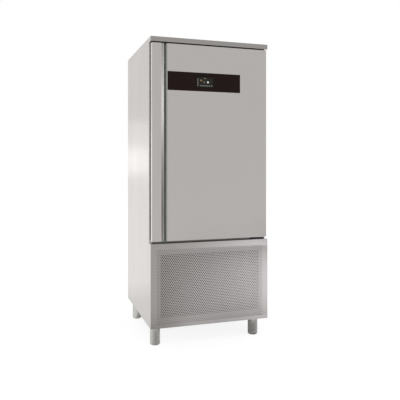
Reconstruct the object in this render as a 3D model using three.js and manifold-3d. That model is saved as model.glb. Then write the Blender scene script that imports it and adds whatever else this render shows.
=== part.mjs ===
// An upright blast chiller: an insulated stainless cabinet on four legs, with one full-height door that
// carries the controls, a tray chamber with its evaporator and fans, and the refrigeration unit below.
// Millimetres. The origin is on the floor under the middle of the cabinet, +X to the right as seen from
// the front, +Y to the back, +Z up. The door's face is the cabinet's front plane.
import * as THREE from "three";
import { mergeVertices } from "three/addons/utils/BufferGeometryUtils.js";
import Module from "manifold-3d";

const wasm = await Module();
wasm.setup();

// ---------------------------------------------------------------- driving dimensions
// Sheet metal and fits
const sheet = 1.5;
const fitGap = 0.3;
const bite = 0.5; // how far two joined shapes reach into each other

// Cabinet casing
const cabinetWidth = 790;
const cabinetDepth = 800;
const bodyHeight = 1813;
const legHeight = 105;
const plinthHeight = 525;
const sideFlange = 20;
const frontRecess = 52;
const lipHeight = 30;
const rearRecess = 22;
const basePlate = 2;

// Insulated box
const sideWall = 60;
const floorWall = 60;
const backWall = 60;
const ceilingWall = 83;
const chamberCove = 25;
const frameDepth = 8;

// Door
const doorSideGap = 8.35;
const doorTopGap = 8.5;
const doorBottomGap = 15;
const doorEdge = 38;
const doorCorner = 3;
const plugRise = 12.5;
const plugMargin = 9;
const plugCorner = 22;
const plugBevel = 5;
const gasketWidth = 18;
const gasketLip = 5;
const gasketOverlap = 8;

// Grip channel along the door's left edge
const gripStrip = 56.65;
const gripRamp = 25;
const gripWall = 15;
const gripDepth = 27;
const gripRampShoulder = 10; // how far the curve's handles reach at the ramp's and the wall's two ends
const gripRampFoot = 11;
const gripWallFoot = 8;
const gripWallShoulder = 6;
const gripRampSteps = 9;
const gripWallSteps = 6;

// Controls in the door
const glassLeft = 98.65;
const glassWidth = 487;
const glassHeight = 118;
const glassDrop = 172.5;
const glassThickness = 4;
const displayLeft = 188.5;
const displayWidth = 120.5;
const displayHeight = 74;
const displayDrop = 23;
const displayDepth = 14;
const displayCorner = 4;
const housingDepth = 26;
const housingWall = 2;
const housingMargin = 6;
const boardMargin = 14;
const boardRise = 5;

// Hinges
const hingeInset = 28;
const hingeSetback = 22;
const hingePin = 6;
const hingePinReach = 26;
const bushWall = 3;
const bushDepth = 30;
const bushFlange = 2.5;
const bushFlangeWidth = 5;
const bracketWidth = 76;
const bracketOverhang = 6;
const bracketLeaf = 4;
const bracketLeafHeight = 22;
const bracketNose = 16;

// Perforated lower front panel
const meshLeft = 34;
const meshBottom = 21;
const meshTop = 27;
const holeColumnPitch = 82;
const holeRowPitch = 62;
const holeRadius = 22;
const holeSides = 6;
const backingSide = 60;
const backingBottom = 65;
const backingTop = 70;
const backingCorner = 6;
const backingDepth = 10;

// Legs and feet
const legRadius = 31.75;
const legInsetLeft = 35;
const legInsetRight = 92;
const legInsetFront = 36;
const rearLegSetback = 620;
const footHeight = 20;
const footSole = 22;
const footRound = 8;
const footStem = 11;
const footStemLength = 66;
const legBoreSpare = 4;

// Base chassis
const railHeight = 15;
const railWidth = 36;
const railSpacing = 130;
const railLength = 270;
const airOutletLeft = 85;
const airOutletWidth = 160;
const airOutletFront = 250;
const airOutletDepth = 250;

// Tray racks
const trayPitch = 105;
const trayFirst = 72;
const trayHeadroom = 60;
const rackFront = 20;
const rackBackGap = 33;
const rackPost = 5;
const rackPostDepth = 26;
const rackPostMargin = 26;
const railReach = 75;
const railSheet = 3;
const railLeadIn = 15;

// Evaporator, its panel and its fans
const plenumDepth = 108;
const fanPanelMargin = 30;
const fanCount = 2;
const fanRadius = 160;
const fanTipGap = 6;
const fanHub = 40;
const fanHubDepth = 30;
const fanBlades = 5;
const bladeCamber = 4.5;
const bladeStations = [
  { reach: 0, chord: 46, pitch: 31 },
  { reach: 0.5, chord: 64, pitch: 27 },
  { reach: 1, chord: 72, pitch: 22 },
];
const hubChamfer = 5;
const hubDome = 2.5;
const collarDepth = 30;
const motorRadius = 40;
const motorDepth = 42;
const motorShaft = 6;
const motorShaftReach = 20;
const motorNose = 3;
const motorSetback = 9;
const motorArm = 12;
const motorArmSheet = 4;
const guardWire = 2.2;
const guardRings = 3;
const guardStand = 16;
const slotWidth = 22;
const slotLength = 380;
const slotInset = 60;
const coilDepth = 62;
const coilMargin = 40;
const coilBase = 50;
const coilTop = 60;
const finPitch = 46;
const finSheet = 4;
const coilSpine = 12;
const endPlate = 3;
const bendTube = 5;
const bendRadius = 14;
const bendCount = 4;
const coilOutletRise = 172.5;
const dripTrayHeight = 24;
const dripTrayDepth = 78;
const drainTube = 9;

// Chamber probe gland
const glandRadius = 12;
const glandRise = 14;
const glandFlange = 3.5;
const glandNeck = 7.5;
const glandMouth = 5;

// Refrigeration unit in the plinth
const condenserLeft = 62;
const condenserWidth = 470;
const condenserHeight = 480;
const condenserDepth = 58;
const condenserGap = 12;
const condenserFinPitch = 40;
const shroudDepth = 24;
const condenserFanRadius = 128;
const condenserFanHub = 36;
const compressorRadius = 88;
const compressorHeight = 218;
const compressorRight = 170;
const compressorSetback = 590;
const compressorBase = 62;
const compressorShoulder = 30;
const compressorDome = 22;
const compressorSeam = 108;
const seamHeight = 8;
const terminalLow = 44;
const terminalHigh = 96;
const portHeight = 144;
const compressorFoot = 118;
const compressorFootWidth = 46;
const seamBead = 3;
const receiverRadius = 46;
const receiverRing = 37;
const receiverRingHeight = 9;
const receiverShoulder = 20;
const receiverHeight = 240;
const receiverLeft = 400;
const receiverToBack = 140;
const stubRadius = 6;
const stubReach = 22;
const drierRadius = 20;
const drierLength = 110;
const drierNeck = 20;
const drierTaper = 14;
const suctionTube = 8;
const smallTube = 5;
const pipeClearance = 3;
const pipeBend = 24;
const riserInset = 20;
const riserSpread = 16;
const boxWidth = 150;
const boxDepth = 200;
const boxHeight = 300;
const boxLid = 8;
const boxFloorGap = 90;
const trayWidth = 180;
const trayDepth = 170;
const trayHeight = 40;
const trayLeft = 285;
const trayToBack = 410; // from its front edge
const ventSlots = 8;
const ventMargin = 2; // in row pitches, above and below the slots
const ventColumns = 2;
const ventLength = 240;
const ventHeight = 10;
const mainsGlandRadius = 12;
const mainsGlandReach = 14;
const mainsGlandNut = 16.8;
const mainsGlandNutHeight = 6;
const mainsGlandCap = 9.6;
const mainsGlandBore = 5.4;

// How finely curves are drawn
const arcSteps = 3; // to a quarter turn at most corners
const bendSteps = 3;
const collarSides = 16;
const roundSides = 12;
const hubFacets = 3; // for each blade, so that all blades leave the hub alike

// ---------------------------------------------------------------- places that follow from them
const left = -cabinetWidth / 2;
const right = cabinetWidth / 2;
const front = -cabinetDepth / 2;
const back = cabinetDepth / 2;
const base = legHeight;
const ledge = base + plinthHeight;
const top = base + bodyHeight;

const skinLeft = left + sheet + fitGap;
const skinRight = right - sheet - fitGap;
const flangeLeft = left + sideFlange + fitGap;
const flangeRight = right - sideFlange - fitGap;
const recess = front + frontRecess;
const lipBottom = top - lipHeight;
const underTop = top - sheet - fitGap;
const onBase = base + basePlate + fitGap;

const chamber = {
  left: left + sideWall,
  right: right - sideWall,
  front: recess + frameDepth + fitGap,
  back: back - backWall,
  floor: ledge + floorWall,
  ceiling: top - ceilingWall,
};

const door = {
  left: left + doorSideGap,
  right: right - doorSideGap,
  bottom: ledge + doorBottomGap,
  top: lipBottom - doorTopGap,
  back: front + doorEdge,
};
const gripRight = door.left + gripStrip + gripRamp + gripWall;
const hinge = { x: door.right - hingeInset + doorSideGap, y: front + hingeSetback };

const glass = { left: door.left + glassLeft, top: door.top - glassDrop };
glass.right = glass.left + glassWidth;
glass.bottom = glass.top - glassHeight;
const display = { left: glass.left + displayLeft, top: glass.top - displayDrop };
display.right = display.left + displayWidth;
display.bottom = display.top - displayHeight;

const coil = {
  left: chamber.left + coilMargin,
  right: chamber.right - coilMargin,
  back: chamber.back - fitGap,
  front: chamber.back - fitGap - coilDepth,
  bottom: chamber.floor + coilBase,
  top: chamber.ceiling - coilTop,
};
const fanPanel = {
  front: coil.front - plenumDepth,
  bottom: chamber.floor + fanPanelMargin,
  top: chamber.ceiling - fanPanelMargin,
};
const rack = { front: chamber.front + rackFront, back: fanPanel.front - rackBackGap };

const condenser = {
  left: left + condenserLeft,
  front: front + backingDepth + condenserGap,
  bottom: onBase,
};
condenser.right = condenser.left + condenserWidth;
condenser.back = condenser.front + condenserDepth;
condenser.top = condenser.bottom + condenserHeight;

const compressor = { x: right - compressorRight, y: front + compressorSetback };
const receiver = { x: left + receiverLeft, y: back - receiverToBack };
const legs = [
  { name: "front_left", x: left + legInsetLeft, y: front + legInsetFront },
  { name: "front_right", x: right - legInsetRight, y: front + legInsetFront },
  { name: "rear_left", x: left + legInsetLeft, y: front + rearLegSetback },
  { name: "rear_right", x: right - legInsetRight, y: front + rearLegSetback },
];

// Where tubes pass through the machine ceiling, the foam and the chamber floor.
const tubeRow = (coil.front + coil.back) / 2;
const passages = {
  drain: { x: coil.left + coilMargin, y: tubeRow, radius: drainTube },
  liquid: { x: coil.right + riserInset, y: tubeRow + riserSpread, radius: smallTube },
  suction: { x: coil.right + riserInset, y: tubeRow - riserSpread, radius: suctionTube },
};

// ---------------------------------------------------------------- geometry helpers
const weldDistance = 1e-4;

// A triangle mesh as a solid, with shared vertices merged, flat triangles dropped and faces outward.
function toSolid(geometry) {
  const bare = new THREE.BufferGeometry();
  bare.setAttribute("position", geometry.getAttribute("position"));
  if (geometry.index) bare.setIndex(geometry.index);
  const welded = mergeVertices(bare, weldDistance);
  const points = welded.getAttribute("position");
  const faces = [];
  let sixVolumes = 0;
  const corner = [new THREE.Vector3(), new THREE.Vector3(), new THREE.Vector3()];
  for (let i = 0; i < welded.index.count; i += 3) {
    const ids = [0, 1, 2].map((k) => welded.index.getX(i + k));
    if (ids[0] === ids[1] || ids[1] === ids[2] || ids[0] === ids[2]) continue;
    ids.forEach((id, k) => corner[k].fromBufferAttribute(points, id));
    sixVolumes += corner[0].dot(corner[1].clone().cross(corner[2]));
    faces.push(ids);
  }
  const outward = sixVolumes < 0 ? faces.map(([a, b, c]) => [a, c, b]) : faces;
  return new wasm.Manifold(
    new wasm.Mesh({
      numProp: 3,
      vertProperties: new Float32Array(points.array),
      triVerts: new Uint32Array(outward.flat()),
    }),
  );
}

function toGeometry(solid) {
  const mesh = solid.getMesh();
  const geometry = new THREE.BufferGeometry();
  geometry.setAttribute("position", new THREE.BufferAttribute(new Float32Array(mesh.vertProperties), 3));
  geometry.setIndex(new THREE.BufferAttribute(new Uint32Array(mesh.triVerts), 1));
  return geometry;
}

const join = (...pieces) => toGeometry(pieces.map(toSolid).reduce((all, next) => all.add(next)));
const cut = (body, ...tools) =>
  toGeometry(tools.map(toSolid).reduce((rest, tool) => rest.subtract(tool), toSolid(body)));

const between = (x0, x1, y0, y1, z0, z1) =>
  new THREE.BoxGeometry(x1 - x0, y1 - y0, z1 - z0).translate((x0 + x1) / 2, (y0 + y1) / 2, (z0 + z1) / 2);

function extrude(shape, depth, curveSegments = arcSteps) {
  return new THREE.ExtrudeGeometry(shape, { depth, bevelEnabled: false, curveSegments });
}

// A shape drawn in (y, z), carried along X from x0 to x1.
const alongXMatrix = new THREE.Matrix4().makeBasis(
  new THREE.Vector3(0, 1, 0),
  new THREE.Vector3(0, 0, 1),
  new THREE.Vector3(1, 0, 0),
);
const alongX = (shape, x0, x1, arcs) =>
  extrude(shape, x1 - x0, arcs).applyMatrix4(alongXMatrix).translate(x0, 0, 0);

// A shape drawn in (x, z), carried along Y from y0 to y1.
const alongY = (shape, y0, y1, arcs) =>
  extrude(shape, y1 - y0, arcs).rotateX(Math.PI / 2).translate(0, y1, 0);

// A shape drawn in (x, y), carried along Z from z0 to z1.
const alongZ = (shape, z0, z1, arcs) => extrude(shape, z1 - z0, arcs).translate(0, 0, z0);

const polygon = (points) => new THREE.Shape(points.map(([u, v]) => new THREE.Vector2(u, v)));

const rectangle = (u0, u1, v0, v1) => polygon([[u0, v0], [u1, v0], [u1, v1], [u0, v1]]);

const ngon = (u, v, radius, sides) =>
  polygon(
    Array.from({ length: sides }, (_, i) => {
      const angle = (2 * Math.PI * (i + 0.5)) / sides;
      return [u + radius * Math.cos(angle), v + radius * Math.sin(angle)];
    }),
  );

function rounded(u0, u1, v0, v1, r) {
  const shape = new THREE.Shape();
  shape.moveTo(u0 + r, v0);
  shape.lineTo(u1 - r, v0);
  shape.absarc(u1 - r, v0 + r, r, -Math.PI / 2, 0);
  shape.lineTo(u1, v1 - r);
  shape.absarc(u1 - r, v1 - r, r, 0, Math.PI / 2);
  shape.lineTo(u0 + r, v1);
  shape.absarc(u0 + r, v1 - r, r, Math.PI / 2, Math.PI);
  shape.lineTo(u0, v0 + r);
  shape.absarc(u0 + r, v0 + r, r, Math.PI, 1.5 * Math.PI);
  shape.closePath();
  return shape;
}

function disc(u, v, radius) {
  const shape = new THREE.Shape();
  shape.absarc(u, v, radius, 0, 2 * Math.PI);
  return shape;
}

// The same closed outline, drawn anticlockwise, moved inwards by a distance at every side.
function inset(points, distance) {
  const count = points.length;
  return points.map(([u, v], i) => {
    const [pu, pv] = points[(i + count - 1) % count];
    const [nu, nv] = points[(i + 1) % count];
    const before = new THREE.Vector2(u - pu, v - pv).normalize();
    const after = new THREE.Vector2(nu - u, nv - v).normalize();
    const inBefore = new THREE.Vector2(-before.y, before.x);
    const inAfter = new THREE.Vector2(-after.y, after.x);
    const way = inBefore.add(inAfter).normalize();
    const reach = distance / way.dot(inAfter);
    return [u + way.x * reach, v + way.y * reach];
  });
}

// A profile of [radius, height] pairs, from the axis back to the axis, turned round Z.
function turned(profile, segments = 16) {
  const points = profile.map(([r, z]) => new THREE.Vector2(r, z));
  return new THREE.LatheGeometry(points, segments).rotateX(Math.PI / 2);
}

// A straight round bar between two points.
function bar(from, to, radius, sides = 8) {
  const start = new THREE.Vector3(...from);
  const end = new THREE.Vector3(...to);
  const way = end.clone().sub(start);
  const upright = new THREE.Vector3(0, 1, 0);
  const turn = new THREE.Quaternion().setFromUnitVectors(upright, way.clone().normalize());
  return new THREE.CylinderGeometry(radius, radius, way.length(), sides)
    .applyQuaternion(turn)
    .translate(...start.add(end).multiplyScalar(0.5).toArray());
}

// A path through given points, sampled at just those points.
class PointPath extends THREE.Curve {
  constructor(points) {
    super();
    this.points = points;
  }

  getSpacedPoints() {
    return this.points;
  }

  getTangentAt(t, target = new THREE.Vector3()) {
    const last = this.points.length - 1;
    const i = Math.round(t * last);
    return target.subVectors(this.points[Math.min(i + 1, last)], this.points[Math.max(i - 1, 0)]).normalize();
  }
}

// A tube of straight runs joined by rounded bends, through the corner points.
function bentTube(corners, radius, bend = pipeBend, sides = 6) {
  const points = corners.map((p) => new THREE.Vector3(...p));
  const path = [points[0]];
  for (let i = 1; i < points.length - 1; i += 1) {
    const into = points[i].clone().sub(points[i - 1]).normalize();
    const out = points[i + 1].clone().sub(points[i]).normalize();
    const start = points[i].clone().addScaledVector(into, -bend);
    const end = points[i].clone().addScaledVector(out, bend);
    path.push(...new THREE.QuadraticBezierCurve3(start, points[i], end).getPoints(bendSteps));
  }
  path.push(points.at(-1));
  const extrudePath = new PointPath(path);
  return new THREE.ExtrudeGeometry(disc(0, 0, radius), {
    steps: path.length - 1,
    extrudePath,
    curveSegments: sides / 2,
  });
}

// A closed skin over rings of points, all of the same count, with flat ends.
function loft(rings) {
  const count = rings[0].length;
  const positions = rings.flat(2);
  const faces = [];
  for (let i = 0; i < rings.length - 1; i += 1) {
    for (let k = 0; k < count; k += 1) {
      const a = i * count + k;
      const b = i * count + ((k + 1) % count);
      faces.push(a, b, b + count, a, b + count, a + count);
    }
  }
  const last = (rings.length - 1) * count;
  for (let k = 1; k < count - 1; k += 1) {
    faces.push(0, k + 1, k);
    faces.push(last, last + k, last + k + 1);
  }
  const geometry = new THREE.BufferGeometry();
  geometry.setAttribute("position", new THREE.Float32BufferAttribute(positions, 3));
  geometry.setIndex(faces);
  return geometry;
}

const steel = (color, roughness) => new THREE.MeshStandardMaterial({ color, roughness, metalness: 1 });
const finishes = {
  brushed: steel(0xc9c7c4, 0.32),
  brightSheet: steel(0xdedcd8, 0.25),
  zinc: steel(0xaeb2b4, 0.45),
  copper: steel(0xb8734a, 0.35),
  fins: steel(0xc4c8ca, 0.4),
  blackPaint: new THREE.MeshStandardMaterial({ color: 0x1d1e1f, roughness: 0.5, metalness: 0.1 }),
  plastic: new THREE.MeshStandardMaterial({ color: 0x2b2c2d, roughness: 0.6, metalness: 0 }),
  whitePlastic: new THREE.MeshStandardMaterial({ color: 0xdcdcd8, roughness: 0.5, metalness: 0 }),
  rubber: new THREE.MeshStandardMaterial({ color: 0x3a3a3a, roughness: 0.85, metalness: 0 }),
  foam: new THREE.MeshStandardMaterial({ color: 0xd8c98f, roughness: 0.9, metalness: 0 }),
  darkGlass: new THREE.MeshStandardMaterial({ color: 0x241a18, roughness: 0.08, metalness: 0 }),
  screen: new THREE.MeshStandardMaterial({ color: 0x191914, roughness: 0.15, metalness: 0 }),
};

const chiller = new THREE.Group();

function addPiece(name, geometry, material) {
  const mesh = new THREE.Mesh(toGeometry(toSolid(geometry)), material);
  mesh.name = name;
  chiller.add(mesh);
}

// ---------------------------------------------------------------- cabinet casing
// A side panel is a folded pan: its outline steps back behind the door between lip and plinth.
function sidePanel(outerX, inward) {
  const outline = [
    [front + sheet + fitGap, onBase],
    [back, onBase],
    [back, underTop],
    [front + sheet + fitGap, underTop],
    [front + sheet + fitGap, lipBottom],
    [recess, lipBottom],
    [recess, ledge],
    [front + sheet + fitGap, ledge],
  ];
  const spans = (a, b) => [Math.min(a, b), Math.max(a, b)];
  const pan = alongX(polygon(outline), ...spans(outerX, outerX + inward * sideFlange));
  const hollow = alongX(
    polygon(inset(outline, sheet)),
    ...spans(outerX + inward * sheet, outerX + inward * (sideFlange + bite)),
  );
  return cut(pan, hollow);
}

// The top sheet folds down over the front as a lip, and the lip folds back to the front frame.
function topPanel() {
  const roof = polygon([
    [front, lipBottom],
    [front + sheet, lipBottom],
    [front + sheet, top - sheet],
    [back, top - sheet],
    [back, top],
    [front, top],
  ]);
  const returned = between(
    flangeLeft,
    flangeRight,
    front + sheet - bite,
    recess - fitGap,
    lipBottom,
    lipBottom + sheet,
  );
  return join(alongX(roof, left, right), returned);
}

function rearPanel() {
  return between(flangeLeft, flangeRight, back - sheet, back, ledge + fitGap, underTop - sheet - fitGap);
}

// The lower back is set in between the sides, with rows of vent slots and the mains inlet.
const servicePanelBack = back - rearRecess;
const mainsInlet = { x: skinLeft + boxWidth / 2, z: onBase + boxFloorGap / 2 };
function rearServicePanel() {
  const low = onBase + sheet + fitGap;
  const high = ledge - sheet - fitGap;
  const sheetShape = rectangle(skinLeft, skinRight, low, high);
  const columnPitch = (skinRight - skinLeft) / ventColumns;
  const rowPitch = (high - low) / (ventSlots + 2 * ventMargin - 1);
  for (let column = 0; column < ventColumns; column += 1) {
    for (let row = 0; row < ventSlots; row += 1) {
      const x = skinLeft + (column + 0.5) * columnPitch;
      const z = low + (row + ventMargin) * rowPitch;
      const half = ventLength / 2;
      const end = ventHeight / 2;
      sheetShape.holes.push(
        polygon([
          [x - half, z],
          [x - half + end, z - end],
          [x + half - end, z - end],
          [x + half, z],
          [x + half - end, z + end],
          [x - half + end, z + end],
        ]),
      );
    }
  }
  sheetShape.holes.push(disc(mainsInlet.x, mainsInlet.z, mainsGlandRadius + fitGap));
  return alongY(sheetShape, servicePanelBack - sheet, servicePanelBack, 8);
}

// The base plate has one wide outlet for the condenser's air and carries two folded rails across it for the
// compressor.
function baseChassis() {
  const outletLeft = left + airOutletLeft;
  const outletFront = front + airOutletFront;
  const outlet = between(
    outletLeft,
    outletLeft + airOutletWidth,
    outletFront,
    outletFront + airOutletDepth,
    base - bite,
    base + basePlate + bite,
  );
  const sheetPlate = between(left, right, front + sheet + fitGap, back, base, base + basePlate);
  const plate = cut(sheetPlate, outlet);
  const rail = (y) => {
    const outer = [y - railWidth / 2, y + railWidth / 2];
    const foot = base + basePlate - bite;
    const crown = base + basePlate + railHeight;
    return alongX(
      polygon([
        [outer[0], foot],
        [outer[0] + basePlate, foot],
        [outer[0] + basePlate, crown - basePlate],
        [outer[1] - basePlate, crown - basePlate],
        [outer[1] - basePlate, foot],
        [outer[1], foot],
        [outer[1], crown],
        [outer[0], crown],
      ]),
      compressor.x - railLength / 2,
      compressor.x + railLength / 2,
    );
  };
  return join(plate, rail(compressor.y - railSpacing / 2), rail(compressor.y + railSpacing / 2));
}

const passageHoles = (clearance) =>
  Object.values(passages).map(({ x, y, radius }) => disc(x, y, radius + clearance));

// The ceiling of the machine room runs forward between the sides as the ledge under the door.
function machineCeiling() {
  const behindFlange = recess + sheet + fitGap;
  const shape = polygon([
    [flangeLeft, front + sheet + fitGap],
    [flangeRight, front + sheet + fitGap],
    [flangeRight, behindFlange],
    [skinRight, behindFlange],
    [skinRight, back - sheet - fitGap],
    [skinLeft, back - sheet - fitGap],
    [skinLeft, behindFlange],
    [flangeLeft, behindFlange],
  ]);
  shape.holes.push(...passageHoles(pipeClearance));
  return alongZ(shape, ledge - sheet, ledge, 6);
}

// The lower front is one perforated sheet in staggered rows, with a folded frame behind its edges.
function frontGrille() {
  const face = rectangle(left, right, base, ledge);
  const field = {
    left: left + meshLeft,
    right: right - meshLeft,
    bottom: base + meshBottom,
    top: ledge - meshTop,
  };
  const columns = Math.floor((field.right - field.left - 2 * holeRadius) / holeColumnPitch);
  const rows = Math.floor((field.top - field.bottom - 2 * holeRadius) / holeRowPitch);
  const firstX = (field.left + field.right - columns * holeColumnPitch) / 2;
  const firstZ = (field.bottom + field.top - rows * holeRowPitch) / 2;
  for (let row = 0; row <= rows; row += 1) {
    const stagger = (row % 2) / 2;
    for (let column = 0; column + stagger <= columns; column += 1) {
      const x = firstX + (column + stagger) * holeColumnPitch;
      const z = firstZ + row * holeRowPitch;
      face.holes.push(ngon(x, z, holeRadius, holeSides));
    }
  }
  const backing = rectangle(flangeLeft, flangeRight, onBase + sheet, ledge - sheet - fitGap);
  backing.holes.push(
    rounded(
      left + backingSide,
      right - backingSide,
      base + backingBottom,
      ledge - backingTop,
      backingCorner,
    ),
  );
  const folded = alongY(backing, front + sheet - bite, front + backingDepth);
  return join(alongY(face, front, front + sheet), folded);
}

// ---------------------------------------------------------------- insulated box
const chamberShape = (grow) =>
  rounded(
    chamber.left - grow,
    chamber.right + grow,
    chamber.floor - grow,
    chamber.ceiling + grow,
    chamberCove + grow,
  );

function frontFrame() {
  const shape = rectangle(flangeLeft, flangeRight, ledge + fitGap, underTop - sheet - fitGap);
  shape.holes.push(chamberShape(0));
  return alongY(shape, recess, recess + frameDepth);
}

const floorHoles = (clearance, low, high) =>
  Object.values(passages).map(({ x, y, radius }) => alongZ(disc(x, y, radius + clearance), low, high, 6));

function chamberLiner() {
  const outer = alongY(chamberShape(sheet), chamber.front, chamber.back + sheet);
  const inner = alongY(chamberShape(0), chamber.front - bite, chamber.back);
  const holes = floorHoles(pipeClearance, chamber.floor - chamberCove, chamber.floor + chamberCove);
  return cut(outer, inner, ...holes);
}

function insulationFoam() {
  const block = between(
    skinLeft,
    skinRight,
    recess + frameDepth + fitGap,
    back - sheet - fitGap,
    ledge + fitGap,
    underTop - sheet - fitGap,
  );
  const hollow = alongY(
    chamberShape(sheet + fitGap),
    chamber.front - bite - fitGap,
    chamber.back + sheet + fitGap,
  );
  return cut(block, hollow, ...floorHoles(pipeClearance, ledge - bite, chamber.floor + chamberCove));
}

// ---------------------------------------------------------------- door
// The door's outline seen from above, anticlockwise from its back left corner: the front face runs
// from the left strip down a long soft ramp into the grip channel and up its steep right wall.
function doorOutline(backY) {
  const stripEnd = door.left + gripStrip;
  const valley = stripEnd + gripRamp;
  const deep = front + gripDepth;
  const ramp = new THREE.CubicBezierCurve(
    new THREE.Vector2(stripEnd, front),
    new THREE.Vector2(stripEnd + gripRampShoulder, front),
    new THREE.Vector2(valley - gripRampFoot, deep),
    new THREE.Vector2(valley, deep),
  );
  const wall = new THREE.CubicBezierCurve(
    new THREE.Vector2(valley, deep),
    new THREE.Vector2(valley + gripWallFoot, deep),
    new THREE.Vector2(gripRight - gripWallShoulder, front),
    new THREE.Vector2(gripRight, front),
  );
  const points = [
    [door.left, backY],
    [door.left, front + doorCorner],
    [door.left + doorCorner, front],
    ...ramp.getPoints(gripRampSteps).map((p) => [p.x, p.y]),
    ...wall.getPoints(gripWallSteps).slice(1).map((p) => [p.x, p.y]),
    [door.right - doorCorner, front],
    [door.right, front + doorCorner],
    [door.right, backY],
  ];
  return points;
}

const bushBody = hingePin + fitGap + bushWall;
const bushHole = (low, high) => alongZ(disc(hinge.x, hinge.y, bushBody + fitGap), low, high, 6);

function doorSkin() {
  const shell = alongZ(polygon(doorOutline(door.back)), door.bottom, door.top);
  const hollow = alongZ(
    polygon(inset(doorOutline(door.back + 4 * sheet), sheet)),
    door.bottom + sheet,
    door.top - sheet,
  );
  const window = between(
    glass.left - fitGap,
    glass.right + fitGap,
    front - bite,
    front + 2 * sheet,
    glass.bottom - fitGap,
    glass.top + fitGap,
  );
  return cut(
    shell,
    hollow,
    window,
    bushHole(door.bottom - bite, door.bottom + 2 * sheet),
    bushHole(door.top - 2 * sheet, door.top + bite),
  );
}

const plugEdge = { left: chamber.left + plugMargin, right: chamber.right - plugMargin };
plugEdge.bottom = chamber.floor + plugMargin;
plugEdge.top = chamber.ceiling - plugMargin;

// The raised middle of the inner door, its rim rounded over, drawn in by a margin.
function plugBody(margin, low, high) {
  const shape = rounded(
    plugEdge.left + margin + plugBevel,
    plugEdge.right - margin - plugBevel,
    plugEdge.bottom + margin + plugBevel,
    plugEdge.top - margin - plugBevel,
    plugCorner - plugBevel,
  );
  return new THREE.ExtrudeGeometry(shape, {
    depth: high - low - plugBevel,
    bevelEnabled: true,
    bevelThickness: plugBevel,
    bevelSize: plugBevel,
    bevelSegments: 1,
    curveSegments: 3,
  })
    .rotateX(-Math.PI / 2)
    .applyMatrix4(new THREE.Matrix4().makeScale(1, 1, -1))
    .translate(0, low, 0);
}

const linerBack = door.back;
function doorLiner() {
  const edge = sheet + fitGap;
  const flange = between(
    door.left + edge,
    door.right - edge,
    linerBack - sheet,
    linerBack,
    door.bottom + edge,
    door.top - edge,
  );
  const rise = plugBody(0, linerBack - sheet, linerBack + plugRise);
  const hollow = plugBody(sheet, linerBack - 2 * sheet - plugBevel, linerBack + plugRise - sheet);
  const held = between(left, right, front, linerBack - sheet, base, top);
  return cut(join(flange, cut(rise, held)), hollow);
}

// The housing behind the glass is an open moulded tray with the control board standing in it.
const housing = {
  left: glass.left + housingMargin,
  right: glass.right - housingMargin,
  bottom: glass.bottom + housingMargin,
  top: glass.top - housingMargin,
  front: front + glassThickness + fitGap,
};
housing.back = housing.front + housingDepth;

function controlHousing() {
  const tray = alongY(
    rounded(housing.left, housing.right, housing.bottom, housing.top, 2 * displayCorner),
    housing.front,
    housing.back,
    3,
  );
  const room = between(
    housing.left + housingWall,
    housing.right - housingWall,
    housing.front - bite,
    housing.back - housingWall,
    housing.bottom + housingWall,
    housing.top - housingWall,
  );
  const board = between(
    housing.left + boardMargin,
    housing.right - boardMargin,
    housing.back - housingWall - boardRise,
    housing.back - housingWall + bite,
    housing.bottom + boardMargin,
    housing.top - boardMargin,
  );
  return join(cut(tray, room), board);
}

function controlGlass() {
  const pane = rectangle(glass.left, glass.right, glass.bottom, glass.top);
  pane.holes.push(
    rounded(
      display.left - fitGap,
      display.right + fitGap,
      display.bottom - fitGap,
      display.top + fitGap,
      displayCorner,
    ),
  );
  return alongY(pane, front, front + glassThickness, 3);
}

// The display module stands in the window of the glass and reaches back to the board.
function controlDisplay() {
  const face = alongY(
    rounded(display.left, display.right, display.bottom, display.top, displayCorner),
    front,
    front + displayDepth,
    3,
  );
  const stem = between(
    display.left + displayWidth / 4,
    display.right - displayWidth / 4,
    front + displayDepth - bite,
    housing.back - housingWall - boardRise - fitGap,
    display.bottom + displayHeight / 4,
    display.top - displayHeight / 4,
  );
  return join(face, stem);
}

function doorFoam() {
  const clear = sheet + fitGap;
  const slab = alongZ(
    polygon(inset(doorOutline(linerBack - sheet - fitGap + clear), clear)),
    door.bottom + clear,
    door.top - clear,
  );
  const plug = cut(
    plugBody(clear, linerBack - 2 * sheet - plugBevel, linerBack + plugRise - clear),
    between(left, right, front, linerBack - 2 * sheet - fitGap, base, top),
  );
  const pocket = between(
    glass.left - fitGap,
    glass.right + fitGap,
    front,
    housing.back + fitGap,
    glass.bottom - fitGap,
    glass.top + fitGap,
  );
  return cut(
    join(slab, plug),
    pocket,
    bushHole(door.bottom - bite, door.bottom + bushDepth + fitGap),
    bushHole(door.top - bushDepth - fitGap, door.top + bite),
  );
}

// A soft ring with a broad foot on the door and a narrower lip that closes on the front frame.
function doorGasket() {
  const ring = (outer, width, y0, y1) => {
    const edge = (grow) => [
      chamber.left - gasketOverlap - grow,
      chamber.right + gasketOverlap + grow,
      chamber.floor - gasketOverlap - grow,
      chamber.ceiling + gasketOverlap + grow,
    ];
    const shape = rounded(...edge(outer), chamberCove);
    shape.holes.push(rounded(...edge(outer - width), chamberCove - width / 2));
    return alongY(shape, y0, y1, 3);
  };
  const foot = linerBack + fitGap;
  return join(
    ring(gasketWidth, gasketWidth, foot, foot + gasketLip),
    ring(gasketWidth - gasketLip, gasketWidth - 2 * gasketLip, foot + gasketLip - bite, recess - fitGap),
  );
}

// ---------------------------------------------------------------- hinges
const lowerBracketTop = door.bottom - 2 * fitGap - bushFlange;
const upperBracketBottom = door.top + 2 * fitGap + bushFlange;
const bracket = { right: hinge.x + bracketOverhang, left: hinge.x + bracketOverhang - bracketWidth };

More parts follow.
